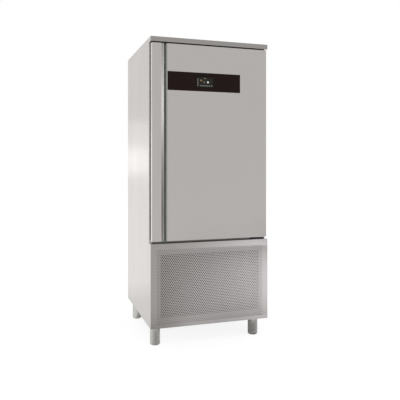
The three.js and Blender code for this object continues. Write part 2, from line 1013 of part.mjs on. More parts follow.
function bracketShape() {
  const nose = hinge.y - bracketNose;
  return polygon([
    [bracket.left, recess - fitGap],
    [bracket.left, recess - bracketNose],
    [hinge.x - bracketNose, nose],
    [bracket.right, nose],
    [bracket.right, recess - fitGap],
  ]);
}

function lowerHingeBracket() {
  const block = alongZ(bracketShape(), ledge + fitGap, lowerBracketTop);
  const pin = alongZ(
    disc(hinge.x, hinge.y, hingePin),
    lowerBracketTop - bite,
    lowerBracketTop + hingePinReach,
    7,
  );
  return join(block, pin);
}

function upperHingeBracket() {
  const block = alongZ(bracketShape(), upperBracketBottom, lipBottom - fitGap);
  const leaf = between(
    bracket.left,
    bracket.right,
    recess - fitGap - bracketLeaf,
    recess - fitGap,
    lipBottom - fitGap - bracketLeafHeight,
    lipBottom - fitGap,
  );
  const pin = alongZ(
    disc(hinge.x, hinge.y, hingePin),
    upperBracketBottom - hingePinReach,
    upperBracketBottom + bite,
    7,
  );
  return join(block, leaf, pin);
}

// A flanged bush, drawn as the lower one and turned over for the upper.
function hingeBush(doorEdgeZ, inward) {
  const bore = hingePin + fitGap;
  const profile = [
    [bore, 0],
    [bushBody + bushFlangeWidth, 0],
    [bushBody + bushFlangeWidth, bushFlange],
    [bushBody, bushFlange],
    [bushBody, bushFlange + bushDepth],
    [bore, bushFlange + bushDepth],
    [bore, 0],
  ];
  const low = doorEdgeZ - inward * (bushFlange + fitGap);
  const placed = profile.map(([r, z]) => [r, low + inward * z]);
  return turned(placed, roundSides).translate(hinge.x, hinge.y, 0);
}

// ---------------------------------------------------------------- legs and feet
function leg({ x, y }) {
  const bore = footStem + fitGap;
  const boreTop = footHeight + footStemLength + legBoreSpare;
  return turned([
    [0, boreTop],
    [bore, boreTop],
    [bore, footHeight + fitGap],
    [legRadius, footHeight + fitGap],
    [legRadius, base - fitGap],
    [0, base - fitGap],
  ]).translate(x, y, 0);
}

function foot({ x, y }) {
  return turned([
    [0, 0],
    [footSole, 0],
    [legRadius - footRound / 4, footRound],
    [legRadius, footRound * 1.5],
    [legRadius, footHeight],
    [footStem, footHeight],
    [footStem, footHeight + footStemLength],
    [0, footHeight + footStemLength],
  ]).translate(x, y, 0);
}

// ---------------------------------------------------------------- chamber fittings
// A tray rack: two flat posts against the side wall and a ladder of flat rails on them, each with its front
// corner cut back so that a tray finds its way in.
function trayRack(side) {
  const wallX = side < 0 ? chamber.left + fitGap : chamber.right - fitGap;
  const inward = -side;
  const at = (reach) => wallX + inward * reach;
  const low = chamber.floor + rackPostMargin;
  const high = chamber.ceiling - rackPostMargin;
  const post = (y) => {
    const [x0, x1] = [at(0), at(rackPost)].sort((a, b) => a - b);
    return between(x0, x1, y, y + rackPostDepth, low, high);
  };
  const rail = (level) => {
    const z = chamber.floor + trayFirst + level * trayPitch;
    const outline = polygon([
      [at(rackPost - bite), rack.front],
      [at(rackPost + railReach - railLeadIn), rack.front],
      [at(rackPost + railReach), rack.front + railLeadIn],
      [at(rackPost + railReach), rack.back],
      [at(rackPost - bite), rack.back],
    ]);
    return alongZ(outline, z, z + railSheet);
  };
  const room = chamber.ceiling - trayHeadroom - (chamber.floor + trayFirst);
  const levels = Array.from({ length: 1 + Math.floor(room / trayPitch) }, (_, level) => rail(level));
  return join(post(rack.front), post(rack.back - rackPostDepth), ...levels);
}

const fanPitch = (fanPanel.top - fanPanel.bottom) / fanCount;
const fanCentres = Array.from({ length: fanCount }, (_, i) => ({
  x: 0,
  z: fanPanel.bottom + (i + 0.5) * fanPitch,
}));

// The sheet in front of the evaporator: a collar round each fan and return slots down both sides.
function evaporatorPanel() {
  const shape = rectangle(chamber.left + fitGap, chamber.right - fitGap, fanPanel.bottom, fanPanel.top);
  const collarRadius = fanRadius + fanTipGap;
  for (const { z } of fanCentres) {
    for (const slotX of [chamber.left + slotInset, chamber.right - slotInset]) {
      shape.holes.push(
        rounded(
          slotX - slotWidth / 2,
          slotX + slotWidth / 2,
          z - slotLength / 2,
          z + slotLength / 2,
          slotWidth / 2,
        ),
      );
    }
  }
  const sheetSolid = alongY(shape, fanPanel.front, fanPanel.front + sheet, 3);
  const collars = fanCentres.map(({ x, z }) => {
    const ring = disc(x, z, collarRadius + 2 * sheet);
    ring.holes.push(disc(x, z, collarRadius));
    return alongY(ring, fanPanel.front, fanPanel.front + collarDepth, collarSides / 2);
  });
  const plain = cut(
    sheetSolid,
    ...fanCentres.map(({ x, z }) =>
      alongY(
        disc(x, z, collarRadius + sheet),
        fanPanel.front - bite,
        fanPanel.front + 2 * sheet,
        collarSides / 2,
      ),
    ),
  );
  return join(plain, ...collars);
}

// A fan drawn round Z, front upwards: a domed hub with a shaft bore, and pitched, cambered blades whose
// chord widens and whose pitch flattens from the root to the tip.
function fan(tipRadius, hubRadius, depth) {
  const bore = motorShaft + fitGap;
  const hub = turned(
    [
      [0, motorShaftReach],
      [bore, motorShaftReach],
      [bore, 0],
      [hubRadius, 0],
      [hubRadius, depth - hubDome - hubChamfer],
      [hubRadius - hubChamfer, depth - hubDome],
      [0, depth],
    ],
    hubFacets * fanBlades,
  );
  const root = hubRadius - hubChamfer;
  const rings = bladeStations.map(({ reach, chord, pitch }) => {
    const radius = root + reach * (tipRadius - root);
    const turn = THREE.MathUtils.degToRad(pitch);
    const across = [
      [-chord / 2, 0],
      [0, bladeCamber],
      [chord / 2, 0],
    ];
    const face = (thickness) =>
      across.map(([way, lift]) => {
        const along = way * Math.cos(turn) - (lift + thickness) * Math.sin(turn);
        const rise = way * Math.sin(turn) + (lift + thickness) * Math.cos(turn);
        const angle = along / radius;
        return [radius * Math.cos(angle), radius * Math.sin(angle), depth / 2 - sheet + rise];
      });
    return [...face(-sheet / 2), ...face(sheet / 2).reverse()];
  });
  const blades = Array.from({ length: fanBlades }, (_, i) =>
    loft(rings).rotateZ((i * 2 * Math.PI) / fanBlades),
  );
  return join(hub, ...blades);
}

// A motor drawn round Z, front upwards, with its shaft, and four arms whose feet stand on a panel.
function fanMotor(armReach, armRise) {
  const can = turned(
    [
      [0, motorShaftReach - fitGap],
      [motorShaft, motorShaftReach - fitGap],
      [motorShaft, -motorNose],
      [motorRadius / 2, -motorNose],
      [motorRadius, -2 * motorNose],
      [motorRadius, 2 * motorNose - motorDepth],
      [motorRadius - 2 * motorNose, -motorDepth],
      [0, -motorDepth],
    ].reverse(),
    roundSides,
  );
  const armTop = -motorSetback;
  const half = motorArm / 2;
  const arms = [0, 1, 2, 3].map((i) => {
    const inner = motorRadius - motorArm;
    const arm = between(inner, armReach + motorArmSheet, -half, half, armTop - motorArmSheet, armTop);
    const legUp = between(armReach, armReach + motorArmSheet, -half, half, armTop - bite, armRise);
    return join(arm, legUp).rotateZ(Math.PI / 4 + (i * Math.PI) / 2);
  });
  return join(can, ...arms);
}

// A guard drawn round Z, front upwards: wire rings on four radial spokes whose ends turn back.
function fanGuard(radius) {
  const rings = Array.from(
    { length: guardRings },
    (_, i) => new THREE.TorusGeometry((radius * (i + 1)) / guardRings, guardWire, 4, roundSides),
  );
  const spokes = [0, 1].map((i) => {
    const angle = Math.PI / 4 + (i * Math.PI) / 2;
    const far = [radius * Math.cos(angle), radius * Math.sin(angle), 0];
    return bar(far, far.map((v) => -v), guardWire, 4);
  });
  const stands = [0, 1, 2, 3].map((i) => {
    const angle = Math.PI / 4 + (i * Math.PI) / 2;
    const foot = [radius * Math.cos(angle), radius * Math.sin(angle)];
    return bar([...foot, 0], [...foot, fitGap - guardStand], guardWire, 4);
  });
  return join(...rings, ...spokes, ...stands);
}

// Parts drawn round Z with their front upwards are laid down so that the front faces the door.
const facingFront = (geometry, x, y, z) => geometry.rotateX(Math.PI / 2).translate(x, y, z);

// A finned heat exchanger: thin upright fins on the tube bank's core, between two end plates, with the
// tubes' return bends standing out of the right plate.
function finnedCoil({ x0, x1, y0, y1, z0, z1, footZ, pitch }) {
  const finRoom = x1 - x0 - 2 * endPlate;
  const fins = Math.floor(finRoom / pitch);
  const step = finRoom / fins;
  const middle = (y0 + y1) / 2;
  const front0 = y0 + 2 * sheet;
  const back0 = y1 - 2 * sheet;
  const spine = { front: middle - coilSpine / 2, back: middle + coilSpine / 2 };
  const outline = [[x0 + endPlate - bite, spine.front]];
  const backOutline = [];
  for (let i = 0; i < fins; i += 1) {
    const finX = x0 + endPlate + (i + 0.5) * step;
    const [finLeft, finRight] = [finX - finSheet / 2, finX + finSheet / 2];
    outline.push([finLeft, spine.front], [finLeft, front0], [finRight, front0], [finRight, spine.front]);
    backOutline.unshift([finRight, spine.back], [finRight, back0], [finLeft, back0], [finLeft, spine.back]);
  }
  outline.push([x1 - endPlate + bite, spine.front], [x1 - endPlate + bite, spine.back]);
  const comb = alongZ(
    polygon([...outline, ...backOutline, [x0 + endPlate - bite, spine.back]]),
    z0 + 2 * endPlate,
    z1 - 2 * endPlate,
  );
  const plates = [
    between(x0, x0 + endPlate, y0, y1, footZ, z1),
    between(x1 - endPlate, x1, y0, y1, footZ, z1),
  ];
  const bends = Array.from({ length: bendCount }, (_, i) =>
    new THREE.TorusGeometry(bendRadius, bendTube, 5, 8)
      .rotateX(Math.PI / 2)
      .translate(x1 - endPlate / 2, middle, z0 + ((i + 0.5) * (z1 - z0)) / bendCount),
  );
  const inside = between(x0, x1 - endPlate / 2, y0 - coilDepth, y1 + coilDepth, z0, z1);
  const halfBends = cut(join(...bends), inside);
  return join(comb, ...plates, halfBends);
}

function evaporatorCoil() {
  return finnedCoil({
    x0: coil.left,
    x1: coil.right,
    y0: coil.front,
    y1: coil.back,
    z0: coil.bottom,
    z1: coil.top,
    footZ: coil.bottom,
    pitch: finPitch,
  });
}

function openTray(x0, x1, y0, y1, z0, z1, wallSheet) {
  const tray = between(x0, x1, y0, y1, z0, z1);
  const room = between(
    x0 + wallSheet,
    x1 - wallSheet,
    y0 + wallSheet,
    y1 - wallSheet,
    z0 + wallSheet,
    z1 + bite,
  );
  return cut(tray, room);
}

function evaporatorDripTray() {
  const z0 = chamber.floor + fitGap;
  const y0 = coil.back - dripTrayDepth;
  const { x, y } = passages.drain;
  const tray = openTray(coil.left, coil.right, y0, coil.back, z0, z0 + dripTrayHeight, sheet);
  return cut(tray, alongZ(disc(x, y, drainTube - sheet), z0 - bite, z0 + 2 * sheet));
}

function probeGland() {
  const profile = [
    [0, 0],
    [glandRadius, 0],
    [glandRadius, glandFlange],
    [glandNeck, glandFlange],
    [glandNeck, glandRise / 2],
    [glandMouth, glandRise],
    [0, glandRise],
  ];
  return turned(profile, roundSides)
    .rotateY(-Math.PI / 2)
    .translate(chamber.right - fitGap, (rack.back + fanPanel.front) / 2, display.bottom);
}

// ---------------------------------------------------------------- refrigeration unit
function condenserCoil() {
  return finnedCoil({
    x0: condenser.left,
    x1: condenser.right,
    y0: condenser.front,
    y1: condenser.back,
    z0: condenser.bottom + 3 * endPlate,
    z1: condenser.top,
    footZ: condenser.bottom,
    pitch: condenserFinPitch,
  });
}

const condenserFan = {
  x: (condenser.left + condenser.right) / 2,
  z: (condenser.bottom + condenser.top) / 2,
  y: condenser.back + fitGap + shroudDepth,
};

// The shroud closes on the condenser's back edges and funnels the air to the fan ring.
function condenserFanShroud() {
  const y0 = condenser.back + fitGap;
  const y1 = y0 + shroudDepth;
  const face = rectangle(condenser.left, condenser.right, condenser.bottom, condenser.top);
  const ringRadius = condenserFanRadius + fanTipGap;
  face.holes.push(disc(condenserFan.x, condenserFan.z, ringRadius));
  const wallRing = rectangle(condenser.left, condenser.right, condenser.bottom, condenser.top);
  wallRing.holes.push(
    rectangle(
      condenser.left + sheet,
      condenser.right - sheet,
      condenser.bottom + sheet,
      condenser.top - sheet,
    ),
  );
  return join(alongY(face, y1 - sheet, y1, collarSides / 2), alongY(wallRing, y0, y1 - sheet + bite));
}

function compressorShell() {
  const z0 = base + basePlate + railHeight + fitGap;
  const plateTop = z0 + 2 * sheet;
  const r = compressorRadius;
  const crown = plateTop + compressorHeight;
  const seam = plateTop + compressorSeam;
  const shell = turned([
    [0, plateTop - bite],
    [compressorBase, plateTop - bite],
    [r, plateTop + compressorShoulder],
    [r, seam],
    [r + seamBead, seam],
    [r + seamBead, seam + seamHeight],
    [r, seam + seamHeight],
    [r, crown - 2 * compressorDome],
    [r - compressorDome / 2, crown - compressorDome],
    [r - 2 * compressorDome, crown - compressorDome / 4],
    [0, crown],
  ]);
  const footHalf = (railSpacing + railWidth) / 2;
  const footing = alongZ(
    rounded(-compressorFoot, compressorFoot, -footHalf, footHalf, railWidth / 2),
    z0,
    plateTop,
    3,
  );
  const terminals = between(
    -compressorFootWidth / 2,
    compressorFootWidth / 2,
    -r - compressorFootWidth / 2,
    -r / 2,
    plateTop + terminalLow,
    plateTop + terminalHigh,
  );
  const port = plateTop + portHeight;
  const stub = (x, radius) => bar([x / 2, 0, port], [x, 0, port], radius);
  const suction = stub(r + stubReach, suctionTube);
  const discharge = stub(-r - stubReach, smallTube);
  return join(shell, footing, terminals, suction, discharge).translate(compressor.x, compressor.y, 0);
}

const stubZ = base + basePlate + railHeight + fitGap + 2 * sheet + portHeight;
const suctionPort = [compressor.x + compressorRadius + stubReach, compressor.y, stubZ];
const dischargePort = [compressor.x - compressorRadius - stubReach, compressor.y, stubZ];

// An upright steel bottle with domed ends on a foot ring, its inlet and outlet stubs on top.
const receiverTop = onBase + receiverHeight;
const receiverStub = receiverRadius / 2;
function liquidReceiver() {
  const r = receiverRadius;
  const bottle = turned([
    [0, onBase],
    [receiverRing, onBase],
    [receiverRing, onBase + receiverRingHeight],
    [r, onBase + receiverShoulder],
    [r, receiverTop - receiverShoulder],
    [r - receiverShoulder / 2, receiverTop - receiverShoulder / 4],
    [0, receiverTop],
  ]);
  const stub = (x) => bar([x, 0, receiverTop - r / 2], [x, 0, receiverTop + stubReach], stubRadius, 10);
  return join(bottle, stub(-receiverStub), stub(receiverStub)).translate(receiver.x, receiver.y, 0);
}

const drierBottom = receiverTop + stubReach + fitGap;
const drierTop = drierBottom + drierLength;
function filterDrier() {
  const neck = stubRadius + sheet;
  return turned(
    [
      [0, drierBottom],
      [neck, drierBottom],
      [neck, drierBottom + drierNeck],
      [drierRadius, drierBottom + drierNeck + drierTaper],
      [drierRadius, drierTop - drierNeck - drierTaper],
      [neck, drierTop - drierNeck],
      [neck, drierTop],
      [0, drierTop],
    ],
    roundSides,
  ).translate(receiver.x + receiverStub, receiver.y, 0);
}

const headerTop = coil.bottom + coilOutletRise;

// From the evaporator's outlet down through the floor and round to the compressor.
function suctionPipe() {
  const { x, y } = passages.suction;
  const [portX, portY, portZ] = suctionPort;
  const drop = ledge - 3 * pipeBend;
  return bentTube(
    [
      [coil.right + fitGap, y, headerTop],
      [x, y, headerTop],
      [x, y, drop],
      [portX + 2 * suctionTube, portY, drop - 2 * pipeBend],
      [portX + 2 * suctionTube, portY, portZ],
      [portX + fitGap, portY, portZ],
    ],
    suctionTube,
    2 * suctionTube - sheet,
  );
}

// The coils' pipes leave the end plates between two return bends.
const portStep = condenserHeight / bendCount;
function dischargePipe() {
  const [portX, portY, portZ] = dischargePort;
  const inletY = (condenser.front + condenser.back) / 2;
  const inletZ = condenser.top - portStep;
  return bentTube(
    [
      [portX - fitGap, portY, portZ],
      [portX - pipeBend, portY, portZ],
      [portX - pipeBend, portY - 3 * pipeBend, portZ + 4 * pipeBend],
      [condenser.right + 2 * pipeBend, inletY, inletZ],
      [condenser.right + fitGap, inletY, inletZ],
    ],
    smallTube,
    pipeBend / 2,
  );
}

function condenserOutletPipe() {
  const outletY = (condenser.front + condenser.back) / 2;
  const outletZ = condenser.bottom + portStep;
  const x = receiver.x - receiverStub;
  const high = receiverTop + stubReach;
  return bentTube(
    [
      [condenser.right + fitGap, outletY, outletZ],
      [condenser.right + 2 * pipeBend, outletY, outletZ],
      [condenser.right + 2 * pipeBend, condenser.back + 5 * pipeBend, outletZ],
      [x, receiver.y - 4 * pipeBend, high + pipeBend],
      [x, receiver.y, high + pipeBend],
      [x, receiver.y, high + fitGap],
    ],
    smallTube,
    pipeBend / 2,
  );
}

function liquidPipe() {
  const { x, y } = passages.liquid;
  const level = drierTop + pipeBend;
  return bentTube(
    [
      [receiver.x + receiverStub, receiver.y, drierTop + fitGap],
      [receiver.x + receiverStub, receiver.y, level],
      [x, y, level],
      [x, y, coil.bottom + pipeBend],
      [coil.right + fitGap, y, coil.bottom + pipeBend],
    ],
    smallTube,
    pipeBend / 2,
  );
}

// The drain drops from under the drip tray to the condensate tray on the base.
const condensate = { left: left + trayLeft, front: back - trayToBack };
function drainPipe() {
  const { x, y } = passages.drain;
  const targetX = condensate.left + trayWidth / 3;
  const targetY = condensate.front + trayDepth / 2;
  const level = ledge - 3 * pipeBend;
  return bentTube(
    [
      [x, y, chamber.floor],
      [x, y, level],
      [targetX, targetY, level - 2 * pipeBend],
      [targetX, targetY, onBase + sheet + fitGap],
    ],
    drainTube,
  );
}

function condensateTray() {
  return openTray(
    condensate.left,
    condensate.left + trayWidth,
    condensate.front,
    condensate.front + trayDepth,
    onBase,
    onBase + trayHeight,
    sheet,
  );
}

// The electrical box hangs on the left side wall, with a proud lid facing the service panel.
function electricalBox() {
  const z0 = onBase + boxFloorGap;
  const y1 = servicePanelBack - sheet - fitGap;
  const y0 = y1 - boxDepth;
  const body = alongY(rounded(skinLeft, skinLeft + boxWidth, z0, z0 + boxHeight, boxLid), y0, y1 - boxLid, 3);
  const lid = alongY(
    rounded(skinLeft, skinLeft + boxWidth + sheet, z0 - sheet, z0 + boxHeight + sheet, boxLid),
    y1 - boxLid - bite,
    y1,
    3,
  );
  return join(body, lid);
}

function mainsGland() {
  const r = mainsGlandRadius;
  const seat = fitGap;
  return turned(
    [
      [0, -2 * mainsGlandReach],
      [r, -2 * mainsGlandReach],
      [r, seat],
      [mainsGlandNut, seat],
      [mainsGlandNut, seat + mainsGlandNutHeight],
      [r, seat + mainsGlandNutHeight],
      [mainsGlandCap, seat + mainsGlandReach],
      [mainsGlandBore, seat + mainsGlandReach],
      [mainsGlandBore, 0],
      [0, 0],
    ],
    roundSides,
  )
    .rotateX(-Math.PI / 2)
    .translate(mainsInlet.x, servicePanelBack, mainsInlet.z);
}

// ---------------------------------------------------------------- assembly
addPiece("left_side_panel", sidePanel(left, 1), finishes.brushed);
addPiece("right_side_panel", sidePanel(right, -1), finishes.brushed);
addPiece("top_panel", topPanel(), finishes.brushed);
addPiece("rear_panel", rearPanel(), finishes.zinc);
addPiece("rear_service_panel", rearServicePanel(), finishes.zinc);
addPiece("base_chassis", baseChassis(), finishes.zinc);
addPiece("machine_ceiling", machineCeiling(), finishes.brushed);
addPiece("front_grille", frontGrille(), finishes.brushed);

addPiece("front_frame", frontFrame(), finishes.brushed);
addPiece("chamber_liner", chamberLiner(), finishes.brightSheet);
addPiece("insulation_foam", insulationFoam(), finishes.foam);

addPiece("door_skin", doorSkin(), finishes.brushed);
addPiece("door_foam", doorFoam(), finishes.foam);
addPiece("door_liner", doorLiner(), finishes.brightSheet);
addPiece("door_gasket", doorGasket(), finishes.rubber);
addPiece("control_housing", controlHousing(), finishes.plastic);
addPiece("control_glass", controlGlass(), finishes.darkGlass);
addPiece("control_display", controlDisplay(), finishes.screen);
addPiece("upper_hinge_bush", hingeBush(door.top, -1), finishes.whitePlastic);
addPiece("lower_hinge_bush", hingeBush(door.bottom, 1), finishes.whitePlastic);
addPiece("upper_hinge_bracket", upperHingeBracket(), finishes.blackPaint);
addPiece("lower_hinge_bracket", lowerHingeBracket(), finishes.blackPaint);

for (const place of legs) {
  addPiece(`${place.name}_leg`, leg(place), finishes.brushed);
  addPiece(`${place.name}_foot`, foot(place), finishes.plastic);
}

addPiece("left_tray_rack", trayRack(-1), finishes.brightSheet);
addPiece("right_tray_rack", trayRack(1), finishes.brightSheet);
addPiece("fan_panel", evaporatorPanel(), finishes.brightSheet);
const bladeRear = fanPanel.front + collarDepth + fitGap;
const guardRadius = fanRadius + fanTipGap + 4 * sheet;
const fanNames = ["lower", "upper"];
fanCentres.forEach(({ x, z }, i) => {
  const name = `${fanNames[i] ?? i}_fan`;
  const armReach = fanRadius + fanTipGap + 3 * sheet;
  const armRise = bladeRear - fanPanel.front - sheet - fitGap;
  const blades = fan(fanRadius, fanHub, fanHubDepth);
  const motor = fanMotor(armReach, armRise);
  const guard = fanGuard(guardRadius);
  addPiece(`${name}_blade`, facingFront(blades, x, bladeRear, z), finishes.plastic);
  addPiece(`${name}_motor`, facingFront(motor, x, bladeRear, z), finishes.blackPaint);
  addPiece(`${name}_guard`, facingFront(guard, x, fanPanel.front - guardStand, z), finishes.brightSheet);
});
addPiece("evaporator_coil", evaporatorCoil(), finishes.fins);
addPiece("evaporator_drip_tray", evaporatorDripTray(), finishes.brightSheet);
addPiece("drain_pipe", drainPipe(), finishes.whitePlastic);
addPiece("probe_gland", probeGland(), finishes.plastic);

addPiece("condenser_coil", condenserCoil(), finishes.blackPaint);
addPiece("condenser_fan_shroud", condenserFanShroud(), finishes.blackPaint);
const condenserFanY = condenserFan.y + fanHubDepth / 2;
const condenserWheel = fan(condenserFanRadius, condenserFanHub, fanHubDepth);
addPiece(
  "condenser_fan_blade",
  facingFront(condenserWheel, condenserFan.x, condenserFanY, condenserFan.z),
  finishes.plastic,
);
addPiece(
  "condenser_fan_motor",
  facingFront(
    fanMotor(condenserFanRadius + fanTipGap + motorArm, condenserFanY - condenserFan.y - fitGap),
    condenserFan.x,
    condenserFanY,
    condenserFan.z,
  ),
  finishes.blackPaint,
);
addPiece("compressor", compressorShell(), finishes.blackPaint);
addPiece("liquid_receiver", liquidReceiver(), finishes.blackPaint);
addPiece("filter_drier", filterDrier(), finishes.copper);
addPiece("suction_pipe", suctionPipe(), finishes.copper);
addPiece("discharge_pipe", dischargePipe(), finishes.copper);
addPiece("condenser_outlet_pipe", condenserOutletPipe(), finishes.copper);
addPiece("liquid_pipe", liquidPipe(), finishes.copper);
addPiece("electrical_box", electricalBox(), finishes.zinc);
addPiece("condensate_tray", condensateTray(), finishes.zinc);
addPiece("mains_gland", mainsGland(), finishes.plastic);

export default chiller;
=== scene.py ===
# %% [markdown]
# # An upright blast chiller
# A blast chiller is an insulated stainless cabinet that cools hot food fast. This lesson dresses a measured
# model of one: the model gives every piece its size and place, and here each piece gets its fine shape and
# its finish. The measured model is loaded first and is never moved, so that every new piece can take its
# place from it.

import math
from collections import Counter

import bmesh
import bpy
from mathutils import Matrix, Vector


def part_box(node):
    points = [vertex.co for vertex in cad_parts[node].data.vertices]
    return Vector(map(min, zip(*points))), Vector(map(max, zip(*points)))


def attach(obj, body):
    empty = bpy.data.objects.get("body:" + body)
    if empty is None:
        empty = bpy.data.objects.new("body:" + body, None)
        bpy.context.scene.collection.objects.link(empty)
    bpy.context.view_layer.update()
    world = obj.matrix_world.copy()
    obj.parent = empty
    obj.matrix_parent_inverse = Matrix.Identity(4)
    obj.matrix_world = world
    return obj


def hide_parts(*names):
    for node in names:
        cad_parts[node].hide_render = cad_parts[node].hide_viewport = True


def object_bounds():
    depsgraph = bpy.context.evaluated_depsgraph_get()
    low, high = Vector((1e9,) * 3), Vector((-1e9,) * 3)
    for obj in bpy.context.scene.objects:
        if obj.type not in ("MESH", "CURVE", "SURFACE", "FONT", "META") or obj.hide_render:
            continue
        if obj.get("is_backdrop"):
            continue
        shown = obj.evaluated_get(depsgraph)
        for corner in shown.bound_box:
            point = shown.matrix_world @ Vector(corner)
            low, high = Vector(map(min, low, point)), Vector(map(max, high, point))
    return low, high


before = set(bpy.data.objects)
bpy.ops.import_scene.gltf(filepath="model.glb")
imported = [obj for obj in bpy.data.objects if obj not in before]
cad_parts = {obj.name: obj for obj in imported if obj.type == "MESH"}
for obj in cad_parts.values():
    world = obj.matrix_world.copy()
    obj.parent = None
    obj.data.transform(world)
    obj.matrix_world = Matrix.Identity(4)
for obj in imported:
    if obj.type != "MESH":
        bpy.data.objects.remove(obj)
measured_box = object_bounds()
MM = 0.001
print("pieces in the measured model:", len(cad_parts))

# %% [markdown]
# ## Camera
# The photograph was taken from the left of the door's middle, at about the height of the door's grip, with
# the camera held level. A level camera keeps upright edges upright, and the lens shift moves the frame down
# to the feet without tilting it. The focal length comes from how fast the side panel narrows to the back.

# %% Place the camera
viewpoint = bpy.data.cameras.new("viewpoint")
viewpoint.sensor_width = 36
viewpoint.lens = 46.43
viewpoint.shift_y = -0.0901
camera = bpy.data.objects.new("viewpoint", viewpoint)
camera.location = (-1.0862, -3.5216, 1.1268)
camera.rotation_euler = (math.radians(90), 0, math.radians(-17.94))
bpy.context.collection.objects.link(camera)
bpy.context.scene.camera = camera
bpy.context.scene.view_settings.view_transform = "Standard"
print("camera lens", viewpoint.lens, "mm")

# %% [markdown]
# ## Writing finishes as sums
# A finish is a small network of nodes. Wiring it by hand hides the idea, so one class wraps an output socket
# and lets it be added and multiplied like a number, each sum adding a Math node. A second class makes any
# node from its type, its settings and its inputs, and a third holds one material with the plain values of its
# surface. Colours are blended with a Mix node, because a Math node would turn them grey.

# %% Wrap sockets, networks and materials
class Signal:
    """A value that varies over a surface; sums with it add Math nodes."""

    def __init__(self, network, socket):
        self.network = network
        self.socket = socket

    def __add__(self, other):
        return self.network.math("ADD", self, other)

    def __sub__(self, other):
        return self.network.math("SUBTRACT", self, other)

    def __rsub__(self, other):
        return self.network.math("SUBTRACT", other, self)

    def __mul__(self, other):
        return self.network.math("MULTIPLY", self, other)

    def __gt__(self, other):
        return self.network.math("GREATER_THAN", self, other)

    __radd__ = __add__
    __rmul__ = __mul__


class Network:
    """A tree of nodes that ends in one output."""

    def __init__(self, tree, end):
        self.tree = tree
        self.end = tree.nodes[end]

    def node(self, kind, settings=None, inputs=None, output=0):
        made = self.tree.nodes.new(kind)
        for key, value in (settings or {}).items():
            if key == "stops":
                set_stops(made.color_ramp, value)
            else:
                setattr(made, key, value)
        for key, value in (inputs or {}).items():
            self.join(made.inputs[key], value)
        return Signal(self, made.outputs[output])

    def join(self, socket, value):
        if isinstance(value, Signal):
            self.tree.links.new(value.socket, socket)
        else:
            socket.default_value = value

    def math(self, operation, first, second):
        return self.node("ShaderNodeMath", {"operation": operation}, {0: first, 1: second})

    def choose(self, factor, first, second):
        """Show the first shader where the factor is 0 and the second where it is 1."""
        mixed = self.node("ShaderNodeMixShader", None, {0: factor, 1: first, 2: second})
        self.join(self.end.inputs["Surface"], mixed)


class Finish(Network):
    """One material: a principled surface with plain values, and the nodes that vary it."""

    def __init__(self, name, tone, roughness, metallic=0.0, **plain):
        self.material = bpy.data.materials.new(name)
        self.material.use_nodes = True
        super().__init__(self.material.node_tree, "Material Output")
        self.surface = self.tree.nodes["Principled BSDF"]
        self.feed(Base_Color=tone, Roughness=roughness, Metallic=metallic, **plain)

    def feed(self, **values):
        for name, value in values.items():
            self.join(self.surface.inputs[name.replace("_", " ")], value)

    def mix(self, factor, first, second):
        return self.node("ShaderNodeMix", {"data_type": "RGBA"}, {0: factor, 6: first, 7: second}, 2)

    def tint(self, share, colour):
        """Blend another colour over the finish where the share asks for it."""
        plain = Signal(self, self.surface.inputs["Base Color"].links[0].from_socket)
        self.feed(Base_Color=self.mix(share, plain, colour))

    def place(self, *stretch):
        own = self.node("ShaderNodeTexCoord", output=3)
        return self.node("ShaderNodeVectorMath", {"operation": "MULTIPLY"}, {0: own, 1: stretch})

    def along(self, axis):
        """How far a point lies along one of the cabinet's axes, in metres."""
        return self.node("ShaderNodeSeparateXYZ", None, {0: self.place(1, 1, 1)}, "xyz".index(axis))

    def noise(self, stretch, detail=2.0, rough=0.5, distortion=0.0):
        inputs = {"Vector": self.place(*stretch), "Scale": 1.0, "Detail": detail,
                  "Roughness": rough, "Distortion": distortion}
        return self.node("ShaderNodeTexNoise", None, inputs)

    def spread(self, value, low, high):
        return self.node("ShaderNodeMapRange", None, {0: value, 1: low, 2: high, 3: 0.0, 4: 1.0})

    def bump(self, height, strength, distance):
        inputs = {"Height": height, "Strength": strength, "Distance": distance}
        self.feed(Normal=self.node("ShaderNodeBump", None, inputs))


def set_stops(ramp, stops):
    while len(ramp.elements) < len(stops):
        ramp.elements.new(0.5)
    for element, (place, colour) in zip(ramp.elements, stops):
        element.position = place
        element.color = colour


def tone(red, green, blue):
    """A colour as it should look on screen, 0 to 255, as the linear values that a shader takes."""
    def linear(part):
        part = part / 255
        return part / 12.92 if part <= 0.04045 else ((part + 0.055) / 1.055) ** 2.4
    return (linear(red), linear(green), linear(blue), 1.0)


def darker(colour, share):
    """A share of a colour's brightness; a share above one makes it brighter."""
    return tuple(part * share for part in colour[:3]) + (1.0,)


def grey(level):
    return (level, level, level, 1.0)


print("steel tone, linear:", [round(part, 3) for part in tone(177, 173, 170)])

# %% [markdown]
# ## Stainless steel
# Stainless sheet is a bare metal, so its colour comes from what it reflects, tinted by the metal itself. The
# mill finishes it with a belt that leaves fine scratches along the sheet. Noise stretched along one axis
# gives such a grain: it shifts the tone a little, the roughness more, and lifts the surface by a few
# hundredths of a millimetre. A second, broad noise stands for handling and rolling, which never leave a
# sheet quite even.

# %% Make the steel finishes
DARKEST, BRIGHTEST = 0.42, 1.58


